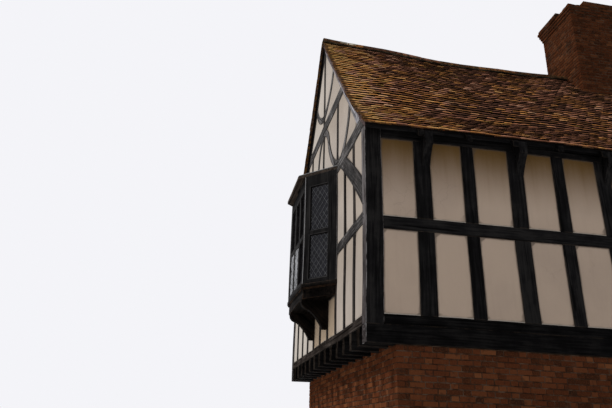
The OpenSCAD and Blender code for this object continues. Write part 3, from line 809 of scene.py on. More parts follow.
# oriel base and consoles: painted shade, darker than the other oak so the underside stays black under the
# floor's bounce light
BASE_OAK = oak("oriel_base_oak", ((0.002, 0.0016, 0.0014), (0.0044, 0.0034, 0.003), (0.011, 0.008, 0.0065)),
               (0.075, 0.038, 0.02), 1.0, specular=0.015)
JOIST_OAK = oak("joist_ends", ((0.005, 0.0038, 0.0032), (0.0125, 0.0098, 0.0082), (0.035, 0.028, 0.0235)),
                (0.045, 0.034, 0.027), 0.6, 0.5, 0.0)
SILL_OAK = oak("gable_sill_oak", ((0.016, 0.013, 0.0115), (0.034, 0.0275, 0.0245), (0.064, 0.053, 0.048)),
               (0.075, 0.063, 0.056), 0.5, 0.6, 0.0)
# gable studs: darker than the braces and rails, partly their own colour and partly painted shade of their
# reveals
STUD_OAK = oak("dark_studs", ((0.007, 0.0055, 0.005), (0.015, 0.012, 0.0105), (0.045, 0.038, 0.034)),
               (0.07, 0.06, 0.055), 0.4, 0.9)
GREY_OAK = oak("weathered_oak", ((0.010, 0.009, 0.009), (0.038, 0.034, 0.033), (0.145, 0.137, 0.138)),
               (0.24, 0.23, 0.235), 0.5, 0.95, 0.06)
POST_OAK = oak("grey_post", ((0.02, 0.0175, 0.0175), (0.055, 0.048, 0.049), (0.14, 0.13, 0.134)),
               (0.25, 0.24, 0.25), 0.7, 0.8, 0.0, paler=(3.3, 5.0, -0.06, 0.065))
# painted light: the right rafters' gable faces are a pale blue-grey, with pale arrises as painted highlight
RAFTER_OAK = oak("gable_rafters", ((0.07, 0.068, 0.075), (0.24, 0.235, 0.26), (0.46, 0.45, 0.5)),
                 (0.55, 0.54, 0.6), 0.6)
# lit and shaded copies of one verge board: the pale one, on the right, is painted light; the dark one, on the
# left, painted shade
PALE_VERGE = oak("pale_verge_board", ((0.035, 0.026, 0.026), (0.095, 0.07, 0.07), (0.22, 0.175, 0.175)),
                 (0.25, 0.21, 0.21), 0.5, specular=0.0)
DARK_VERGE = oak("dark_verge_board", ((0.009, 0.0045, 0.003), (0.021, 0.0105, 0.007), (0.045, 0.024, 0.016)),
                 (0.06, 0.035, 0.025), 0.5, specular=0.0)
BOARD_OAK = oak("floor_boards", ((0.07, 0.043, 0.024), (0.14, 0.09, 0.052), (0.22, 0.15, 0.09)),
                (0.3, 0.22, 0.14), 0.6)
GABLE_LIME = lime("lime_plaster", (0.39, 0.338, 0.297), (0.325, 0.282, 0.25), (0.23, 0.175, 0.12), 0.35, 0.9,
                  gable=True)
# side walls: the strong brown staining down from the wall plate is partly painted shade under the eaves
SIDE_LIME = lime("lime_plaster_side", (0.445, 0.345, 0.275), (0.40, 0.31, 0.25), (0.11, 0.06, 0.018), 1.0,
                 1.08)
BRICK = fired_brick("brick")
STACK_BRICK = fired_brick("stack_brick", 0.62)
MORTAR = bedding("mortar", (0.026, 0.013, 0.008), (0.050, 0.027, 0.0165), (0.09, 0.056, 0.038))
VERGE_MORTAR = bedding("verge_mortar", (0.018, 0.011, 0.008), (0.05, 0.03, 0.022), (0.13, 0.09, 0.072))
RIDGE_BED = bedding("ridge_bed", (0.012, 0.010, 0.007), (0.034, 0.028, 0.019), (0.09, 0.072, 0.048))
CREAM_MORTAR = bedding("cream_mortar", (0.2, 0.17, 0.12), (0.5, 0.45, 0.35), (0.75, 0.7, 0.6))
TILE = clay_tile("roof_tiles")
RIDGE_TILE = clay_tile("ridge_tiles", 0.85)
LEAD = sheet_lead("lead")
CAME_LEAD = sheet_lead("came_lead", 0.42)
DARK_CAMES = oak("dark_cames", BLACK, BLACK[2], 0.0, specular=0.0)
GLASS = old_glass("leaded_glass", 0.09, (0.004, 0.004, 0.007), (0.012, 0.012, 0.018))
DULL_GLASS = old_glass("dull_glass", 0.0, (0.003, 0.003, 0.004), (0.006, 0.006, 0.008))
# painted reflection: the low front casements' glass is lighter and bluer, a painted reflection of the sky
SKY_PAINTED_GLASS = old_glass("casement_glass", 0.9, (0.006, 0.006, 0.009), (0.05, 0.054, 0.062))


# Plaster panels

def plastered(node, axis, side, material, top=None):
    """Stands hand floated plaster panels in the place of a CAD node; axis is across the wall."""
    bm = welded(node)
    slice_up(bm, PANEL_STEP)
    rim, under, foot = (bm.verts.layers.float.new(key) for key in ("rim", "under", "foot"))
    plane = [a for a in range(3) if a != axis]
    rng = np.random.default_rng(len(node))
    for part in solids(bm):
        places = coords(part)
        face_at = (places[:, axis] * side).max() - 1e-4
        front = [v for v in part if v.co[axis] * side > face_at]
        edges = {e for v in front for e in v.link_edges}
        outline = [e for e in edges if abs(e.calc_face_angle(0)) > 1.0
                   and all(v.co[axis] * side > face_at for v in e.verts)]
        starts, ends = (coords(e.verts[i] for e in outline)[:, plane] for i in (0, 1))
        gaps = segment_distance(coords(front)[:, plane], starts, ends)
        high = places[:, 2].max() if top is None else top
        lean = rng.uniform(-PANEL_LEAN, PANEL_LEAN)
        for vertex, gap in zip(front, gaps):
            vertex[rim] = gap
            # under drives the staining down from the top, which under the eaves is partly painted shade
            vertex[under] = high - vertex.co.z
            vertex[foot] = vertex.co.z - places[:, 2].min()
            swell = PANEL_BULGE * math.sin(0.5 * math.pi * min(1.0, gap / BULGE_REACH)) + lean
            vertex.co[axis] += side * swell
    add_piece(node + "_panels", to_mesh(bm, node), [material], "lime_plaster", node, smooth=SMOOTH)


# Brickwork

def course_lengths(length, odd):
    """Start and end of each brick in one course of a wall face, in header and stretcher bond."""
    corner, closers = (HEADER + JOINT, [CLOSER]) if odd else (0.0, [])
    room = length - 2 * corner
    pairs = (room - STRETCHER - 2 * (CLOSER + JOINT) * odd) / (STRETCHER + HEADER + 2 * JOINT)
    sizes = [*closers, STRETCHER, *([HEADER, STRETCHER] * max(0, round(pairs))), *closers]
    scale = (room - JOINT * (len(sizes) - 1)) / sum(sizes)
    place, laid = corner, []
    for size in sizes:
        laid.append((place, place + size * scale))
        place += size * scale + JOINT
    return laid


class Face:
    """One face of brickwork: where it starts, its way along, its way out and its length."""

    def __init__(self, start, along, out, length):
        self.start, self.along, self.out = (np.array(v, float) for v in (start, along, out))
        self.length = length

    def course(self, mass, spans, z, height, rng):
        """Adds the bricks of one course."""
        spans = np.array(spans)
        n = len(spans)
        a0, a1 = (spans + rng.uniform(-BRICK_SHIFT, BRICK_SHIFT, (n, 2))).T
        z0 = z + rng.uniform(0, BRICK_RISE, n)
        z1 = z + height - rng.uniform(0, BRICK_LOSS, n)
        proud = rng.uniform(-BRICK_SUNK, 0.0, n)
        points = []
        for inset, out in ((0, np.full(n, -HEADER)), (0, proud - BRICK_ARRIS), (BRICK_ARRIS, proud)):
            for a, h in corners_of(a0, z0, a1, z1, inset):
                flat = self.start + a[:, None] * self.along + out[:, None] * self.out
                points.append(flat + h[:, None] * UP)
        points = np.stack(points, 1)
        points[:, 4:] += rng.normal(0, BRICK_ROUGH, points[:, 4:].shape)
        mass.add(points, BRICK_FACES, tone=rng.beta(2.0, 2.4, n))

    def bonded(self, mass, low, high, shift, rng):
        """Adds the courses from one height to another; where shift is odd, the first one has closers."""
        count = round((high - low) / COURSE)
        course = (high - low) / count
        for j in range(count):
            spans = course_lengths(self.length, (j + shift) % 2)
            self.course(mass, spans, low + j * course, course - BED, rng)


def ring_faces(low, high):
    """The four outer faces of an upright block, in order round it."""
    faces = []
    for (x0, y0), (x1, y1) in around(corners_of(low[0], low[1], high[0], high[1])):
        length = abs(x1 - x0) + abs(y1 - y0)
        x_way, y_way = (x1 - x0) / length, (y1 - y0) / length
        faces.append(Face((x0, y0, 0), (x_way, y_way, 0), (y_way, -x_way, 0), length))
    return faces


def recess(vertex, low, high, axes=(0, 1)):
    """Moves a vertex that lies on the outer faces of a block in behind the faces of its bricks."""
    place = vertex.co.copy()
    for axis in axes:
        for side, corner in ((-1, low), (1, high)):
            if abs(place[axis] - corner[axis]) < NEAR:
                vertex.co[axis] = corner[axis] - side * RECESS


def core(node, low, high, axes=(0, 1)):
    """A CAD node's mesh as the mortar behind its bricks."""
    bm = welded(node)
    slice_up(bm, CORE_STEP)
    for vertex in bm.verts:
        recess(vertex, low, high, axes)
    return bm


def brick_piece(node, mass, bm, brick=BRICK, sags=True):
    """Adds the mortar to the bricks and stands both in the place of a CAD node."""
    bm.verts.index_update()
    faces = [[v.index for v in f.verts] for f in bm.faces]
    mass.add(coords(bm.verts), faces, material=1, tone=0.5)
    bm.free()
    add_piece(node + "_bricks", mass.mesh(node, sags), [brick, MORTAR], "brick", node)


def ground_walls():
    """The four brick walls of the ground storey, bonded round the corners."""
    low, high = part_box("ground_wall_front")[0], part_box("ground_wall_rear")[1]
    rng = np.random.default_rng(21)
    for index, (side, face) in enumerate(zip(("front", "right", "rear", "left"), ring_faces(low, high))):
        node = "ground_wall_" + side
        mass = Mass()
        face.bonded(mass, 0.0, high.z, index, rng)
        brick_piece(node, mass, core(node, low, high))


def joist_infill():
    """Short courses of brick between the joists."""
    node = "joist_infill"
    low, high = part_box(node)
    rng = np.random.default_rng(22)
    mass = Mass()
    bm = welded(node)
    courses = round((high.z - low.z) / COURSE)
    course = (high.z - low.z) / courses
    for part in solids(bm):
        places = coords(part)
        near, far = places.min(0), places.max(0)
        face = ring_faces(near, far)[0 if places[:, 1].mean() < 0 else 2]
        for j in range(courses):
            middle = face.length * (0.62 if j % 2 else 0.38)
            spans = [(INFILL_GAP, middle - JOINT / 2), (middle + JOINT / 2, face.length - INFILL_GAP)]
            face.course(mass, spans, near[2] + j * course, course - BED, rng)
    bm.free()
    brick_piece(node, mass, core(node, low, high, axes=[1]))


def stack():
    """The chimney stack, bonded where it stands above the roof."""
    rng = np.random.default_rng(23)
    mass = Mass()
    for index, face in enumerate(ring_faces(STACK_LOW, STACK_HIGH)):
        face.bonded(mass, ROOF.knee[1] + STACK_FROM, STACK_HIGH.z, index, rng)
    brick_piece("chimney_stack", mass, core("chimney_stack", STACK_LOW, STACK_HIGH), STACK_BRICK, sags=False)


def cap_levels(points):
    """Bottom, top and outer box of each course of the chimney's cap."""
    levels = sorted({round(z, 4) for z in points[:, 2]})
    reaches = [np.abs(points[np.abs(points[:, 2] - z) < NEAR][:, 0]).max() for z in levels]
    middle = (STACK_LOW.y + STACK_HIGH.y) / 2
    found = []
    for i, (bottom, top) in enumerate(zip(levels, levels[1:])):
        reach = min(reaches[i:i + 2]) if i else reaches[0]
        half_y = reach - STACK_HIGH.x + (STACK_HIGH.y - STACK_LOW.y) / 2
        found.append((bottom, top, np.array([-reach, middle - half_y]), np.array([reach, middle + half_y])))
    return found


def chimney_cap():
    """Oversailing courses of brick on a bed of mortar, with a corner broken off."""
    rng = np.random.default_rng(24)
    bm = welded("chimney_cap")
    points = coords(bm.verts)
    courses = cap_levels(points)
    cap_top = courses[-1][1] - NEAR
    top = points[points[:, 2] > cap_top]
    chip_x = top[top[:, 0] > NEAR][:, 0].min()
    chip_y = top[top[:, 0] > top[:, 0].max() - NEAR][:, 1].min()
    chip_z = points[np.abs(points[:, 0] - chip_x) < NEAR][:, 2].min()
    mass = Mass()
    for index, (bottom, high, low_corner, high_corner) in enumerate(courses):
        for side, face in enumerate(ring_faces(low_corner, high_corner)):
            spans = course_lengths(face.length, (index + side) % 2)
            if bottom > chip_z - NEAR:
                middles = [face.start + face.along * (a + b) / 2 for a, b in spans]
                spans = [s for s, m in zip(spans, middles) if m[0] < chip_x or m[1] > chip_y]
            face.course(mass, spans, bottom, high - bottom - BED, rng)
    slice_up(bm, CHIP_STEP)
    for vertex in bm.verts:
        x, y, z = vertex.co
        fitting = [corners for bottom, high, *corners in courses if bottom - NEAR < z < high + NEAR]
        for corners in fitting:
            recess(vertex, *corners)
        if chip_x - NEAR < x and y < chip_y + NEAR and chip_z - NEAR < z < cap_top:
            vertex.co += Vector(rng.uniform(-CHIP_ROUGH, CHIP_ROUGH, 3))
    brick_piece("chimney_cap", mass, bm, STACK_BRICK, sags=False)


# Roof covering

def tile_template():
    """Faces of one tile: points are numbered top first, by three places along and three across."""
    faces, tail_shade = [], []
    def at(u, v, bottom):
        return u * 3 + v + 9 * bottom
    for u in range(2):
        for v in range(2):
            faces.append([at(u, v, 0), at(u, v + 1, 0), at(u + 1, v + 1, 0), at(u + 1, v, 0)])
            faces.append([at(u, v, 1), at(u + 1, v, 1), at(u + 1, v + 1, 1), at(u, v + 1, 1)])
            tail_shade += [0, 0]
    for v in range(2):
        faces.append([at(0, v, 0), at(0, v, 1), at(0, v + 1, 1), at(0, v + 1, 0)])
        faces.append([at(2, v, 0), at(2, v + 1, 0), at(2, v + 1, 1), at(2, v, 1)])
        tail_shade += [1, 0]
    for u in range(2):
        faces.append([at(u, 0, 0), at(u + 1, 0, 0), at(u + 1, 0, 1), at(u, 0, 1)])
        faces.append([at(u, 2, 0), at(u, 2, 1), at(u + 1, 2, 1), at(u + 1, 2, 0)])
        # the side faces take some painted shade too
        tail_shade += [0.6, 0.6]
    return faces, tail_shade


# For the points of one tile: their faces, how much painted shade each face takes (tails fully, sides 0.6),
# and places across, up and under
TILE_FACES, TILE_TAIL_SHADE = tile_template()
ACROSS = np.tile([-1.0, 0.0, 1.0], 6)
UPWARD = np.tile(np.repeat([0.0, 0.5, 1.0], 3), 2)
UNDER = np.repeat([0.0, 1.0], 9)


def lichen(along, up):
    """How much lichen a place on a slope has: most high up beside the front verge."""
    from_front = along - ROOF.front
    high = 0.35 + 0.65 * np.clip(up / ROOF.length, 0, 1)
    verge = 0.75 * high * np.exp(-from_front / 1.1)
    low = 0.3 * np.exp(-from_front / 1.5) * np.exp(-up / 0.9)
    return np.clip(verge + low + 0.16 * ripple(along, up, 33), 0, 1)


def verge_line(side, up):
    """Where the front verge of a slope lies along y; the left one hangs further out, most at its foot."""
    out = LEFT_VERGE_LOW + (LEFT_VERGE_HIGH - LEFT_VERGE_LOW) * up / ROOF.length
    return ROOF.front - (out if side < 0 else 0.0)


def tile_edges(k, front, rng):
    """Where the tiles of course k meet, with a tile and a half at the verges of every other course."""
    count = round((ROOF.rear - ROOF.front) / TILE_W)
    pitch = (ROOF.rear - front) / count
    edges = front + pitch * np.arange(count + 1)
    if k % 2:
        edges = np.concatenate([edges[:1], edges[1:-2] + pitch / 2, edges[-1:]])
    edges[1:-1] += rng.normal(0, TILE_SHIFT, len(edges) - 2)
    edges[0] += rng.uniform(0.0, VERGE_SHIFT)
    edges[-1] -= rng.uniform(0.0, VERGE_SHIFT)
    return edges


def clear_of_stack(points):
    """Which tiles don't lie in the chimney stack."""
    x, y, _ = points[:, :9].mean(1).T
    inside = (y > STACK_LOW.y + STACK_LAP) & (y < STACK_HIGH.y - STACK_LAP)
    return ~((np.abs(x) < STACK_HIGH.x - STACK_LAP) & inside)


def tiled_slope(side, node, seed):
    """Lays a slope tile by tile, from the short tiles under the first course up to the ridge."""
    rng = np.random.default_rng(seed)
    mass = Mass()
    courses = round(ROOF.length / GAUGE)
    gauge = ROOF.length / courses
    for k in range(-1, courses):
        foot = max(k, 0) * gauge
        front = verge_line(side, foot)
        edges = tile_edges(k, front, rng)
        n = len(edges) - 1
        middle, half = (edges[1:] + edges[:-1]) / 2, (edges[1:] - edges[:-1] - TILE_GAP) / 2
        loose = float(k > 0)
        tail = foot + loose * (TAIL_RIPPLE * ripple(middle, foot, seed + 1) + rng.normal(0, TAIL_SHIFT, n))
        tail = tail - loose * (rng.uniform(size=n) < SLIPPED_SHARE) * rng.uniform(*SLIP, n)
        room = ROOF.length - TOP_GAP - tail
        length = np.minimum(TILE_L, room) if k >= 0 else np.full(n, UNDER_TILE_L)
        dip = RAFTER_DIP * np.sin(math.pi * (middle - front) / RAFTER_STEP + 0.25 * k) ** 2
        lift = SUNK_RIPPLE * ripple(middle, tail, seed + 2) - SUNK - dip + rng.uniform(*LIFT, n)
        lift = np.minimum(lift, -TILE_LAP) - (TILE_T + TILE_LAP if k < 0 else 0.0)
        twist = rng.normal(0, TWIST, n)
        skew = rng.normal(0, SKEW, n)[:, None]
        camber = rng.uniform(*CAMBER, n)
        rise = UPWARD * length[:, None]
        up = np.clip(tail[:, None] + rise + ACROSS * skew, 0.0, ROOF.length - TOP_LAP)
        along = middle[:, None] + ACROSS * half[:, None] - (UPWARD - 0.5) * skew
        out = lift[:, None] - rise * TILE_T / gauge - camber[:, None] * ACROSS ** 2
        out = out + twist[:, None] * ACROSS * (1 - UPWARD) - UNDER * (TILE_T - TILE_LAP)
        points = ROOF.place(side, up, along, np.minimum(out, 0.0))
        tone = rng.beta(2.2, 2.8, n) + 0.08 * ripple(middle, tail, seed + 3)
        tone = np.clip(tone + 0.65 * np.exp((front - middle) / 0.75), 0, 1)
        # painted light: the eaves course's tiles get light tones, for the light on their clear hanging tails
        if k == 0:
            tone = rng.uniform(0.55, 0.95, n)
        growth = np.clip(lichen(middle, tail) + rng.normal(0, 0.2, n), 0, 1)
        rim = np.zeros((n, len(ACROSS)))
        rim[0, ACROSS < 0] = rim[-1, ACROSS > 0] = 1.0
        # the eaves course's tails take less painted shade
        marks = {"tail": [0.75 * tail for tail in TILE_TAIL_SHADE] if k == 0 else TILE_TAIL_SHADE}
        keep = clear_of_stack(points)
        # cover, each point's height up its tile in gauges, places the painted shadow under the tile above
        mass.add(points[keep], TILE_FACES, marks=marks, tone=tone[keep], growth=growth[keep],
                 cover=rise[keep] / gauge, rim=rim[keep])
    add_piece(node + "_tiles", mass.mesh(node), [TILE], "roof_tiles", node)


def verge_bedding(side, name):
    """The mortar that closes the tiles' edges along the verges, on both gables."""
    rng = np.random.default_rng(43 + side)
    mass = Mass()
    stops = np.append(np.arange(0.03, ROOF.length - 0.1, BEDDING_STEP), ROOF.length - 0.05)
    for verge, inward in ((verge_line(side, stops), 1), (ROOF.rear, -1)):
        back = verge + inward * BEDDING_DEEP + 0 * stops
        face = verge + inward * (BEDDING_IN + rng.uniform(0.0, BEDDING_ROUGH, len(stops)))
        top = BEDDING_TOP + rng.uniform(-BEDDING_RIPPLE, BEDDING_RIPPLE, len(stops))
        along = np.stack([face, back, back, face], 1)
        out = np.stack([BEDDING_LOW + 0 * stops, BEDDING_LOW + 0 * stops, BEDDING_HIGH + 0 * stops, top], 1)
        sections = ROOF.place(side, stops[:, None], along, out)
        mass.add(np.concatenate([sections[:-1], sections[1:]], 1), BOX_FACES)
    add_piece(name, mass.mesh(name), [VERGE_MORTAR], "roof_tiles")


def roof_lining(node, side):
    """Battens and boards under the tiles, as a layer behind them."""
    bm = welded(node)
    slice_up(bm, LINING_STEP)
    out_way = outward(ROOF.main_way)
    for vertex in bm.verts:
        place = np.array([abs(vertex.co.x), vertex.co.z])
        main = (place - ROOF.ridge) @ out_way
        flare = (place - ROOF.eaves) @ outward(ROOF.flare_way)
        if max(main, flare) > -0.01:
            vertex.co.x -= side * LINING_AT * out_way[0]
            vertex.co.z -= LINING_AT * out_way[1]
        if abs(vertex.co.x) > ROOF.eaves[0] - 0.05:
            vertex.co.x -= side * LINING_FOOT
            vertex.co.z += LINING_FOOT
        if vertex.co.y < ROOF.front + 0.01 or vertex.co.y > ROOF.rear - 0.01:
            vertex.co.y -= math.copysign(LINING_END, vertex.co.y)
    grain_lines(bm, 5)
    bm.normal_update()
    for face in bm.faces:
        face.material_index = int(abs(face.normal.y) > 0.6)
    # the right verge board is painted light, the left one painted shade
    board = PALE_VERGE if side > 0 else DARK_VERGE
    add_piece(node + "_lining", to_mesh(bm, node), [DARK_OAK, board], "dark_oak", smooth=SMOOTH)


def half_round(y0, y1, radius, thick, centre_z, droop):
    """Points and faces of one half round tile from y0 to y1; droop is how far it passes the half circle."""
    angles = np.linspace(-droop, math.pi + droop, RIDGE_STEPS + 1)
    points = np.array([(r * math.cos(a), y, centre_z + r * math.sin(a))
                       for y in (y0, y1) for r in (radius, radius - thick) for a in angles])
    points[:, 2] -= RIDGE_DROP * between_gables(points[:, 1])
    faces = []
    n = RIDGE_STEPS + 1
    for i in range(RIDGE_STEPS):
        a, b, c, d = i, n + i, 2 * n + i, 3 * n + i
        faces += [[a, a + 1, c + 1, c], [b, d, d + 1, b + 1], [a, b, b + 1, a + 1], [c, c + 1, d + 1, d]]
    for i in (0, RIDGE_STEPS):
        faces.append([i, 2 * n + i, 3 * n + i, n + i])
    return points, faces


def ridge():
    """Half round ridge tiles, each on its own mortar, before and behind the stack."""
    low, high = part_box("ridge_tiles")
    radius = high.x
    centre_z = high.z - radius
    rng = np.random.default_rng(41)
    mass = Mass()
    for start, end in ((low.y, STACK_LOW.y + RIDGE_LAP), (STACK_HIGH.y - RIDGE_LAP, high.y)):
        count = round((end - start) / RIDGE_PIECE)
        size = (end - start) / count
        for i in range(count):
            y0, y1 = start + i * size, start + (i + 1) * size
            points, faces = half_round(y0 + RIDGE_GAP, y1 - RIDGE_GAP, radius - RIDGE_IN, RIDGE_T, centre_z,
                                       RIDGE_DROOP)
            share = (points[:, 1] - y0) / size
            points[:, 2] += rng.uniform(*RIDGE_LOW) + rng.uniform(-RIDGE_TILT, RIDGE_TILT) * share
            points[:, 0] += rng.uniform(-RIDGE_SKEW, RIDGE_SKEW) * (share - 0.5)
            mass.add(points, faces, tone=rng.beta(2, 3), growth=rng.uniform(0.0, 0.5))
            points, faces = half_round(y0, y1, radius - RIDGE_BED_IN, RIDGE_BED_T, centre_z, RIDGE_BED_DROOP)
            mass.add(points, faces, material=1, tone=0.5, growth=0.0)
    for share, size in RIDGE_PATCHES:
        y0 = low.y + share * RIDGE_PIECE
        points, faces = half_round(y0, y0 + size, radius + PATCH_OUT, RIDGE_PATCH_T, centre_z, PATCH_DROOP)
        mass.add(points, faces, material=2, tone=0.5, growth=0.0)
    add_piece("ridge_tiles_laid", mass.mesh("ridge_tiles"), [RIDGE_TILE, RIDGE_BED, CREAM_MORTAR],
              "ridge_tiles", "ridge_tiles", smooth=RIDGE_SMOOTH)


# Oriel: lights, beads and lead

def clipped(polygon, half_w, half_h):
    """The part of a convex polygon inside a rectangle about the origin."""
    for axis, sign, limit in ((0, 1, half_w), (0, -1, half_w), (1, 1, half_h), (1, -1, half_h)):
        kept = []
        for p, q in around(polygon):
            dp, dq = limit - sign * p[axis], limit - sign * q[axis]
            if dp >= 0:
                kept.append(p)
            if dp * dq < 0:
                share = dp / (dp - dq)
                kept.append(tuple(a + (b - a) * share for a, b in zip(p, q)))
        polygon = kept
        if len(polygon) < 3:
            return []
    return polygon


def area(polygon):
    return abs(sum(p[0] * q[1] - q[0] * p[1] for p, q in around(polygon))) / 2


class Light:
    """One pane of the oriel: its middle, its way across, its way out, and half its size."""

    def __init__(self, vertices):
        places = coords(vertices)
        self.centre = places.mean(0)
        flat = (places - self.centre)[:, :2]
        ways = np.linalg.eigh(flat.T @ flat)[1]
        self.along = np.array([*ways[:, 1], 0.0])
        out = np.array([*ways[:, 0], 0.0])
        self.out = out if out @ (self.centre - np.array([0, FRONT_Y, 0])) > 0 else -out
        self.in_front = self.out[1] < -0.9
        self.half_w = np.abs((places - self.centre) @ self.along).max()
        self.half_h = np.abs(places[:, 2] - self.centre[2]).max()
        columns = max(1, round(2 * self.half_w / QUARRY_W))
        rows = max(1, round(2 * self.half_h / QUARRY_H))
        self.cell_w = 2 * self.half_w / columns
        self.cell_h = 2 * self.half_h / rows
        self.steps = range(-columns - rows - 2, columns + rows + 2)

    def world(self, across, out, height):
        return self.centre + across * self.along + out * self.out + height * UP

    def sides(self):
        """Both upright sides of the pane, each as its two ends."""
        for across in (-self.half_w, self.half_w):
            yield self.world(across, 0.0, -self.half_h), self.world(across, 0.0, self.half_h)

    def corners(self, inset=0.0):
        """The four corners in the plane of the pane, in order round it."""
        return corners_of(-self.half_w, -self.half_h, self.half_w, self.half_h, inset)

    def lattice(self, a, b):
        """Where two lattice lines cross."""
        return (self.cell_w * (a + b) / 2 - self.half_w, self.cell_h * (b - a) / 2 - self.half_h)


def oriel_lights():
    bm = welded("oriel_glass")
    lights = [Light(part) for part in solids(bm)]
    bm.free()
    return lights


def quarries(mass, light, rng, material):
    """Adds the diamond panes of one light, each a little out of true."""
    for a, b in product(light.steps, repeat=2):
        corners = [light.lattice(*c) for c in ((a, b), (a + 1, b), (a + 1, b + 1), (a, b + 1))]
        shape = clipped(corners, light.half_w, light.half_h)
        if not shape or area(shape) < SMALLEST_QUARRY:
            continue
        lean_x, lean_z = rng.normal(0, GLASS_LEAN, 2)
        middle = np.mean(shape, axis=0)
        points = []
        for back in (0.5, -0.5):
            for x, z in shape:
                out = (x - middle[0]) * lean_x + (z - middle[1]) * lean_z + back * GLASS_T
                points.append(light.world(x, out, z))
        mass.add(points, stacked(2, len(shape)), material, tone=rng.uniform())


def came(mass, light, p, q, material, half, thick):
    """Adds one lead bar from p to q in the plane of a light."""
    p, q = np.array(p, float), np.array(q, float)
    way = (q - p) / np.linalg.norm(q - p)
    side = np.array([-way[1], way[0]])
    section = ((-half, 0), (-0.55 * half, thick), (0.55 * half, thick), (half, 0),
               (0.55 * half, -thick), (-0.55 * half, -thick))
    points = []
    for end in (p, q):
        for across, out in section:
            x, z = end + side * across
            points.append(light.world(x, out, z))
    mass.add(points, stacked(2, len(section)), material, tone=0.5)


def lattice_lines(light):
    """End points of every lead line that crosses a light."""
    far_ends = light.steps.start, light.steps.stop
    for rising in (True, False):
        for k in light.steps:
            p, q = (np.array(light.lattice(k, t) if rising else light.lattice(t, k)) for t in far_ends)
            low, high = 0.0, 1.0
            for axis, limit in ((0, light.half_w), (1, light.half_h)):
                step = q[axis] - p[axis]
                near, far = sorted(((-limit - p[axis]) / step, (limit - p[axis]) / step))
                low, high = max(low, near), min(high, far)
            if (high - low) * np.linalg.norm(q - p) > SHORTEST_CAME:
                yield p + (q - p) * low, p + (q - p) * high


def solder(mass, light, x, z, material):
    """Adds a small flat blob where two lead bars cross."""
    points = []
    high, wide = CAME_T + SOLDER_OUT, 0.6 * CAME_T
    for out, r in ((-high, SOLDER_TOP_R), (-wide, SOLDER_R), (wide, SOLDER_R), (high, SOLDER_TOP_R)):
        for a in np.arange(6) * math.tau / 6:
            points.append(light.world(x + r * math.cos(a), out, z + r * math.sin(a)))
    mass.add(points, stacked(4, 6), material, tone=0.5)


def bead(mass, light, tone):
    """Adds the moulded bead that holds a light from outside."""
    section = [(share * BEAD, BEAD_OUT + rise * BEAD)
               for share, rise in ((0.0, 0.0), (0.0, 1.0), (0.35, 0.93), (0.8, 0.55), (1.0, 0.0))]
    points = []
    for x, z in light.corners():
        for inset, out in section:
            scale_x, scale_z = 1 - inset / light.half_w, 1 - inset / light.half_h
            points.append(light.world(x * scale_x, out, z * scale_z))
    faces = []
    n = len(section)
    for i in range(4):
        k = (i + 1) % 4
        for j in range(n):
            m = (j + 1) % n
            faces.append([i * n + j, k * n + j, k * n + m, i * n + m])
    mass.add(points, faces, marks={"arris": [BEAD_WORN] * len(faces)}, tone=tone)


def leaded_lights(lights):
    """All ten lights of the oriel, as glass, lead and beads; two low casements in front stand further out."""
    rng = np.random.default_rng(51)
    in_front = [light for light in lights if light.in_front]
    low = min(light.centre[2] for light in in_front) + 0.1
    near = max(light.centre[0] for light in in_front) - 0.1
    glass, lead, beads = Mass(), Mass(), Mass()
    for light in lights:
        casement = light.in_front and light.centre[2] < low and light.centre[0] < near
        if casement:
            light.centre = light.centre + CASEMENT_OUT * light.out
        # the low front casements get the glass with a painted sky reflection
        quarries(glass, light, rng, 1 if casement else 2 * int(light.in_front))
        dark = int(light.in_front)
        thick = 0.7 * CAME_T if casement else CAME_T
        for p, q in lattice_lines(light):
            came(lead, light, p, q, dark, CAME, thick)
        for p, q in around(light.corners(EDGE_INSET)):
            came(lead, light, p, q, dark, EDGE_CAME, thick)
        if not casement:
            for a, b in product(light.steps, repeat=2):
                x, z = light.lattice(a, b)
                if abs(x) < light.half_w - SOLDER_CLEAR and abs(z) < light.half_h - SOLDER_CLEAR:
                    solder(lead, light, x, z, dark)
        tone = rng.uniform()
        if not casement:
            bead(beads, light, tone)
    add_piece("oriel_quarries", glass.mesh("oriel_quarries"), [GLASS, SKY_PAINTED_GLASS, DULL_GLASS], "leaded_glass",
              "oriel_glass")
    add_piece("oriel_cames", lead.mesh("oriel_cames"), [CAME_LEAD, DARK_CAMES], "lead")
    add_piece("oriel_beads", beads.mesh("oriel_beads"), [DARK_OAK], "dark_oak")


# Small parts

def timber_tree(nodes):
    """The faces of some timber nodes, to test what lies behind a place."""
    points, faces = [], []
    for node in nodes:
        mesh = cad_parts[node].data
        faces += [[len(points) + i for i in polygon.vertices] for polygon in mesh.polygons]
        points += [v.co.copy() for v in mesh.vertices]
    return BVHTree.FromPolygons(points, faces)


def tenon_ends(node):
    """Both ends of every stud, rail and brace of a node, with the way it points."""
    bm = welded(node)
    for part in solids(bm):
        flat = coords(part)[:, [0, 2]]
        way = np.linalg.eigh((flat - flat.mean(0)).T @ (flat - flat.mean(0)))[1][:, 1]
        for side in (-1, 1):
            reach = (flat @ way) * side
            end = flat[reach > reach.max() - 0.05].mean(0)
            yield end + way * side * (reach.max() - (end @ way) * side), way * side
    bm.free()


def in_timber(tree, x, z, face_y, out, room):
    """Whether the timber's face lies behind a place and behind four others round it."""
    for a, b in ((0, 0), (1, 0), (-1, 0), (0, 1), (0, -1)):
        start = Vector((x + a * room, face_y + out * PEG_VIEW, z + b * room))
        hit = tree.ray_cast(start, Vector((0, -out, 0)))[3]
        if hit is None or abs(hit - PEG_VIEW) > 0.002:
            return False
    return True


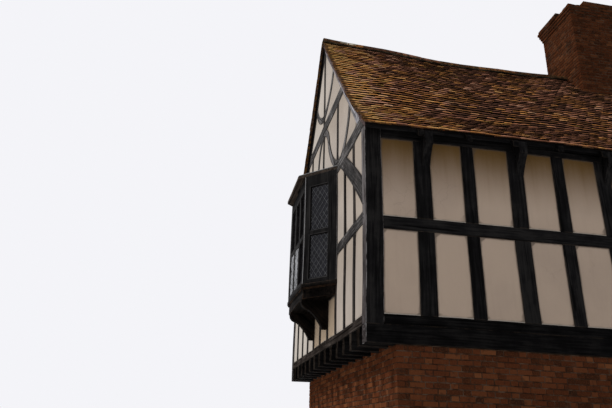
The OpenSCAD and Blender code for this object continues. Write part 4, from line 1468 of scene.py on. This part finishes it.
def pegs(gable, face_y, out, timbers):
    """Oak pegs through the timbers that hold the tenons of studs, rails and braces."""
    rng = np.random.default_rng(91)
    tree = timber_tree(timbers)
    mass = Mass()
    ends = [end for part in ("_studs", "_rails", "_braces") for end in tenon_ends(gable + part)]
    for (end, way), shift in product(ends, (-PEG_SHIFT, PEG_SHIFT)):
        across = np.array([-way[1], way[0]])
        x, z = end + way * PEG_INSET + across * (shift + rng.normal(0, 0.004)) + rng.normal(0, 0.006, 2)
        r = PEG_R * rng.uniform(0.85, 1.1)
        if in_timber(tree, x, z, face_y, out, r + PEG_ROOM):
            points = []
            for depth, share in ((-PEG_DEEP, 1.0), (PEG_OUT * rng.uniform(0.2, 1.0), 0.92)):
                for a in np.arange(PEG_SIDES) * math.tau / PEG_SIDES:
                    over, up = r * share * math.cos(a), r * share * math.sin(a)
                    points.append((x + over, face_y + out * depth, z + up))
            mass.add(points, stacked(2, PEG_SIDES), tone=rng.uniform())
    add_piece(gable + "_pegs", mass.mesh(gable + "_pegs"), [DARK_OAK], "weathered_oak")


def floor():
    """Separate floor boards laid across the joists and cut at the stack."""
    low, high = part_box("floor_boards")
    rng = np.random.default_rng(61)
    mass = Mass()
    count = round((high.y - low.y) / BOARD_W)
    size = (high.y - low.y) / count
    for i in range(count):
        y0, y1 = low.y + i * size + BOARD_GAP, low.y + (i + 1) * size - BOARD_GAP
        joint = rng.uniform(low.x + 1.0, high.x - 1.0)
        boards = [(low.x, joint), (joint, high.x)]
        if y1 > STACK_LOW.y and y0 < STACK_HIGH.y:
            boards = [(low.x, STACK_LOW.x), (STACK_HIGH.x, high.x)]
        for x0, x1 in boards:
            top = high.z - rng.uniform(0, 0.002)
            points = []
            for inset, z in ((0.0, low.z), (0.0, top - BOARD_ARRIS), (BOARD_ARRIS, top)):
                points += [(*corner, z) for corner in corners_of(x0, y0, x1, y1, inset)]
            mass.add(points, BRICK_FACES, marks={"arris": [0] * 5 + [1] * 4 + [0]}, tone=rng.uniform())
    mesh = mass.mesh("floor_boards")
    places = np.zeros(len(mesh.vertices) * 3)
    mesh.vertices.foreach_get("co", places)
    mesh.attributes.new("grain", "FLOAT_VECTOR", "POINT").data.foreach_set("vector", places)
    add_piece("floor_boards_laid", mesh, [BOARD_OAK], "floor_boards", "floor_boards")


# The house

def build_timbers(lights):
    """All hewn timbers, and the oriel's lead; each list of nodes has its own run of seeds."""
    bodies = dict.fromkeys(("side_beams", "side_sills", "rafters_right", "rafters_left"), BEAM_OAK)
    # the left rafters' gable faces take the dark stud oak, painted shade under their verge; the right ones
    # the pale rafter oak, painted light
    gables = {"floor_joists": JOIST_OAK, "side_beams": POST_OAK, "corner_posts": POST_OAK,
              "rafters_right": RAFTER_OAK, "rafters_left": STUD_OAK}
    for seed, node in enumerate(("floor_joists", "side_beams", "cross_beams", "corner_posts", "side_sills",
                                 "wall_plates", "right_posts", "right_rails", "left_posts", "left_rails",
                                 "eaves_brackets", "rafters_right", "rafters_left"), 100):
        hewn(node, bodies.get(node, DARK_OAK), "dark_oak", seed, gable=gables.get(node))
    sides = [side for light in lights for side in light.sides()]
    for seed, node in enumerate(("oriel_front_frame", "oriel_right_frame", "oriel_left_frame"), 120):
        # the oriel frames' pale vertical arrises are partly painted highlight, dulled beside the glass and on
        # the far corner
        hewn(node, FRAME_OAK, "dark_oak", seed, ORIEL_STEP, 0.007, level=0.1, dull_near=sides)
    for seed, node in enumerate(("oriel_base", "oriel_consoles", "oriel_cornice"), 130):
        hewn(node, CORNICE_OAK if node == "oriel_cornice" else BASE_OAK, "dark_oak", seed, ORIEL_STEP, 0.005)
    for seed, node in enumerate(("gable_sills", "tie_beams", "collars", "front_rails", "front_braces",
                                 "rear_rails", "rear_braces"), 140):
        hewn(node, DARK_OAK, "weathered_oak", seed, gable=SILL_OAK if node == "gable_sills" else GREY_OAK)
    for seed, node in enumerate(("front_studs", "rear_studs"), 150):
        hewn(node, DARK_OAK, "weathered_oak", seed, gable=STUD_OAK)
    hewn("oriel_lead", LEAD, "lead", 160, ORIEL_STEP, 0.003)


def build_house():
    lights = oriel_lights()
    build_timbers(lights)
    # the side panels' staining, partly painted shade under the eaves, runs down from the foot of the wall
    # plates
    plate_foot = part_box("wall_plates")[0].z
    plastered("front_plaster", 1, -1, GABLE_LIME)
    plastered("rear_plaster", 1, 1, GABLE_LIME)
    plastered("right_plaster", 0, 1, SIDE_LIME, plate_foot)
    plastered("left_plaster", 0, -1, SIDE_LIME, plate_foot)
    ground_walls()
    joist_infill()
    stack()
    chimney_cap()
    for side, node, seed in ((1, "roof_right", 71), (-1, "roof_left", 81)):
        tiled_slope(side, node, seed)
        roof_lining(node, side)
        verge_bedding(side, node + "_bedding")
    ridge()
    leaded_lights(lights)
    posts = ["corner_posts", "tie_beams", "collars", "gable_sills"]
    for gable, face_y, out in (("front", FRONT_Y, -1), ("rear", REAR_Y, 1)):
        pegs(gable, face_y, out, posts + [gable + "_braces", gable + "_rails"])
    floor()


# Stage, camera and light

GROUND_REACH, GROUND_Z = 80, -0.002

# The photograph's camera: its place, its turn from looking along -X, its tilt up and its roll
CAMERA_AT = Vector((10.424, -6.496, 1.514))
TURN, TILT, ROLL = (math.radians(a) for a in (9.5676, 22.098, 1.8455))
SENSOR_WIDTH = 36.0
LENS = 33.66
VIEW_REACH = 300

SUN_STRENGTH = 3.0
SUN_SIZE = math.radians(8)
SUN_COLOUR = (1.0, 0.97, 0.93)
SUN_FROM = Vector((-0.35, -0.55, 0.76))
SKY_LIGHT, SKY_STRENGTH = (0.95, 0.975, 1.0, 1.0), 0.47
SKY_SEEN = (0.905, 0.905, 0.94, 1.0)


def pale_floor():
    """The ground, a little below the foot of the walls."""
    mesh = bpy.data.meshes.new("pale_floor")
    corners = corners_of(-GROUND_REACH, -GROUND_REACH, GROUND_REACH, GROUND_REACH)
    mesh.from_pydata([(*corner, 0) for corner in corners], [], [[0, 1, 2, 3]])
    f = Finish("pale_floor", 0.9, 0.1)
    clouds = f.span(f.noise(f.place, 0.4, 4), 0.3, 0.7)
    mesh.materials.append(f.end(f.over((0.7, 0.69, 0.67), (clouds, (0.76, 0.75, 0.73)))))
    ground = put("pale_floor", mesh)
    ground.location.z = GROUND_Z


def photo_camera():
    level = Vector((-math.cos(TURN), math.sin(TURN), 0))
    right = Vector((math.sin(TURN), math.cos(TURN), 0))
    up = Vector((0, 0, 1))
    forward = level * math.cos(TILT) + up * math.sin(TILT)
    head = up * math.cos(TILT) - level * math.sin(TILT)
    across = right * math.cos(ROLL) + head * math.sin(ROLL)
    head = head * math.cos(ROLL) - right * math.sin(ROLL)
    data = bpy.data.cameras.new("photo_camera")
    data.sensor_fit = "HORIZONTAL"
    data.sensor_width = SENSOR_WIDTH
    data.lens = LENS
    data.clip_end = VIEW_REACH
    camera = put("photo_camera", data)
    turned = Matrix((across, head, -forward)).transposed().to_4x4()
    camera.matrix_world = Matrix.Translation(CAMERA_AT) @ turned
    bpy.context.scene.camera = camera


def soft_sun():
    data = bpy.data.lights.new("soft_sun", "SUN")
    data.energy = SUN_STRENGTH
    data.angle = SUN_SIZE
    data.color = SUN_COLOUR
    sun = put("soft_sun", data)
    sun.rotation_mode = "QUATERNION"
    sun.rotation_quaternion = SUN_FROM.to_track_quat("Z", "Y")


def pale_sky():
    """A soft even light, which camera, mirror and glass rays see as a pale sky."""
    world = bpy.data.worlds.new("pale_sky")
    bpy.context.scene.world = world
    world.use_nodes = True
    tree = world.node_tree
    tree.nodes.clear()
    lamp, seen = (tree.nodes.new("ShaderNodeBackground") for _ in range(2))
    lamp.inputs["Color"].default_value = SKY_LIGHT
    lamp.inputs["Strength"].default_value = SKY_STRENGTH
    seen.inputs["Color"].default_value = SKY_SEEN
    paths = tree.nodes.new("ShaderNodeLightPath")
    share = paths.outputs["Is Camera Ray"]
    for name in ("Is Glossy Ray", "Is Transmission Ray"):
        either = tree.nodes.new("ShaderNodeMath")
        either.operation = "MAXIMUM"
        tree.links.new(share, either.inputs[0])
        tree.links.new(paths.outputs[name], either.inputs[1])
        share = either.outputs[0]
    mixed = tree.nodes.new("ShaderNodeMixShader")
    output = tree.nodes.new("ShaderNodeOutputWorld")
    tree.links.new(share, mixed.inputs[0])
    tree.links.new(lamp.outputs[0], mixed.inputs[1])
    tree.links.new(seen.outputs[0], mixed.inputs[2])
    tree.links.new(mixed.outputs[0], output.inputs[0])


build_house()
pale_floor()
photo_camera()
soft_sun()
pale_sky()
bpy.context.scene.view_settings.view_transform = "Standard"
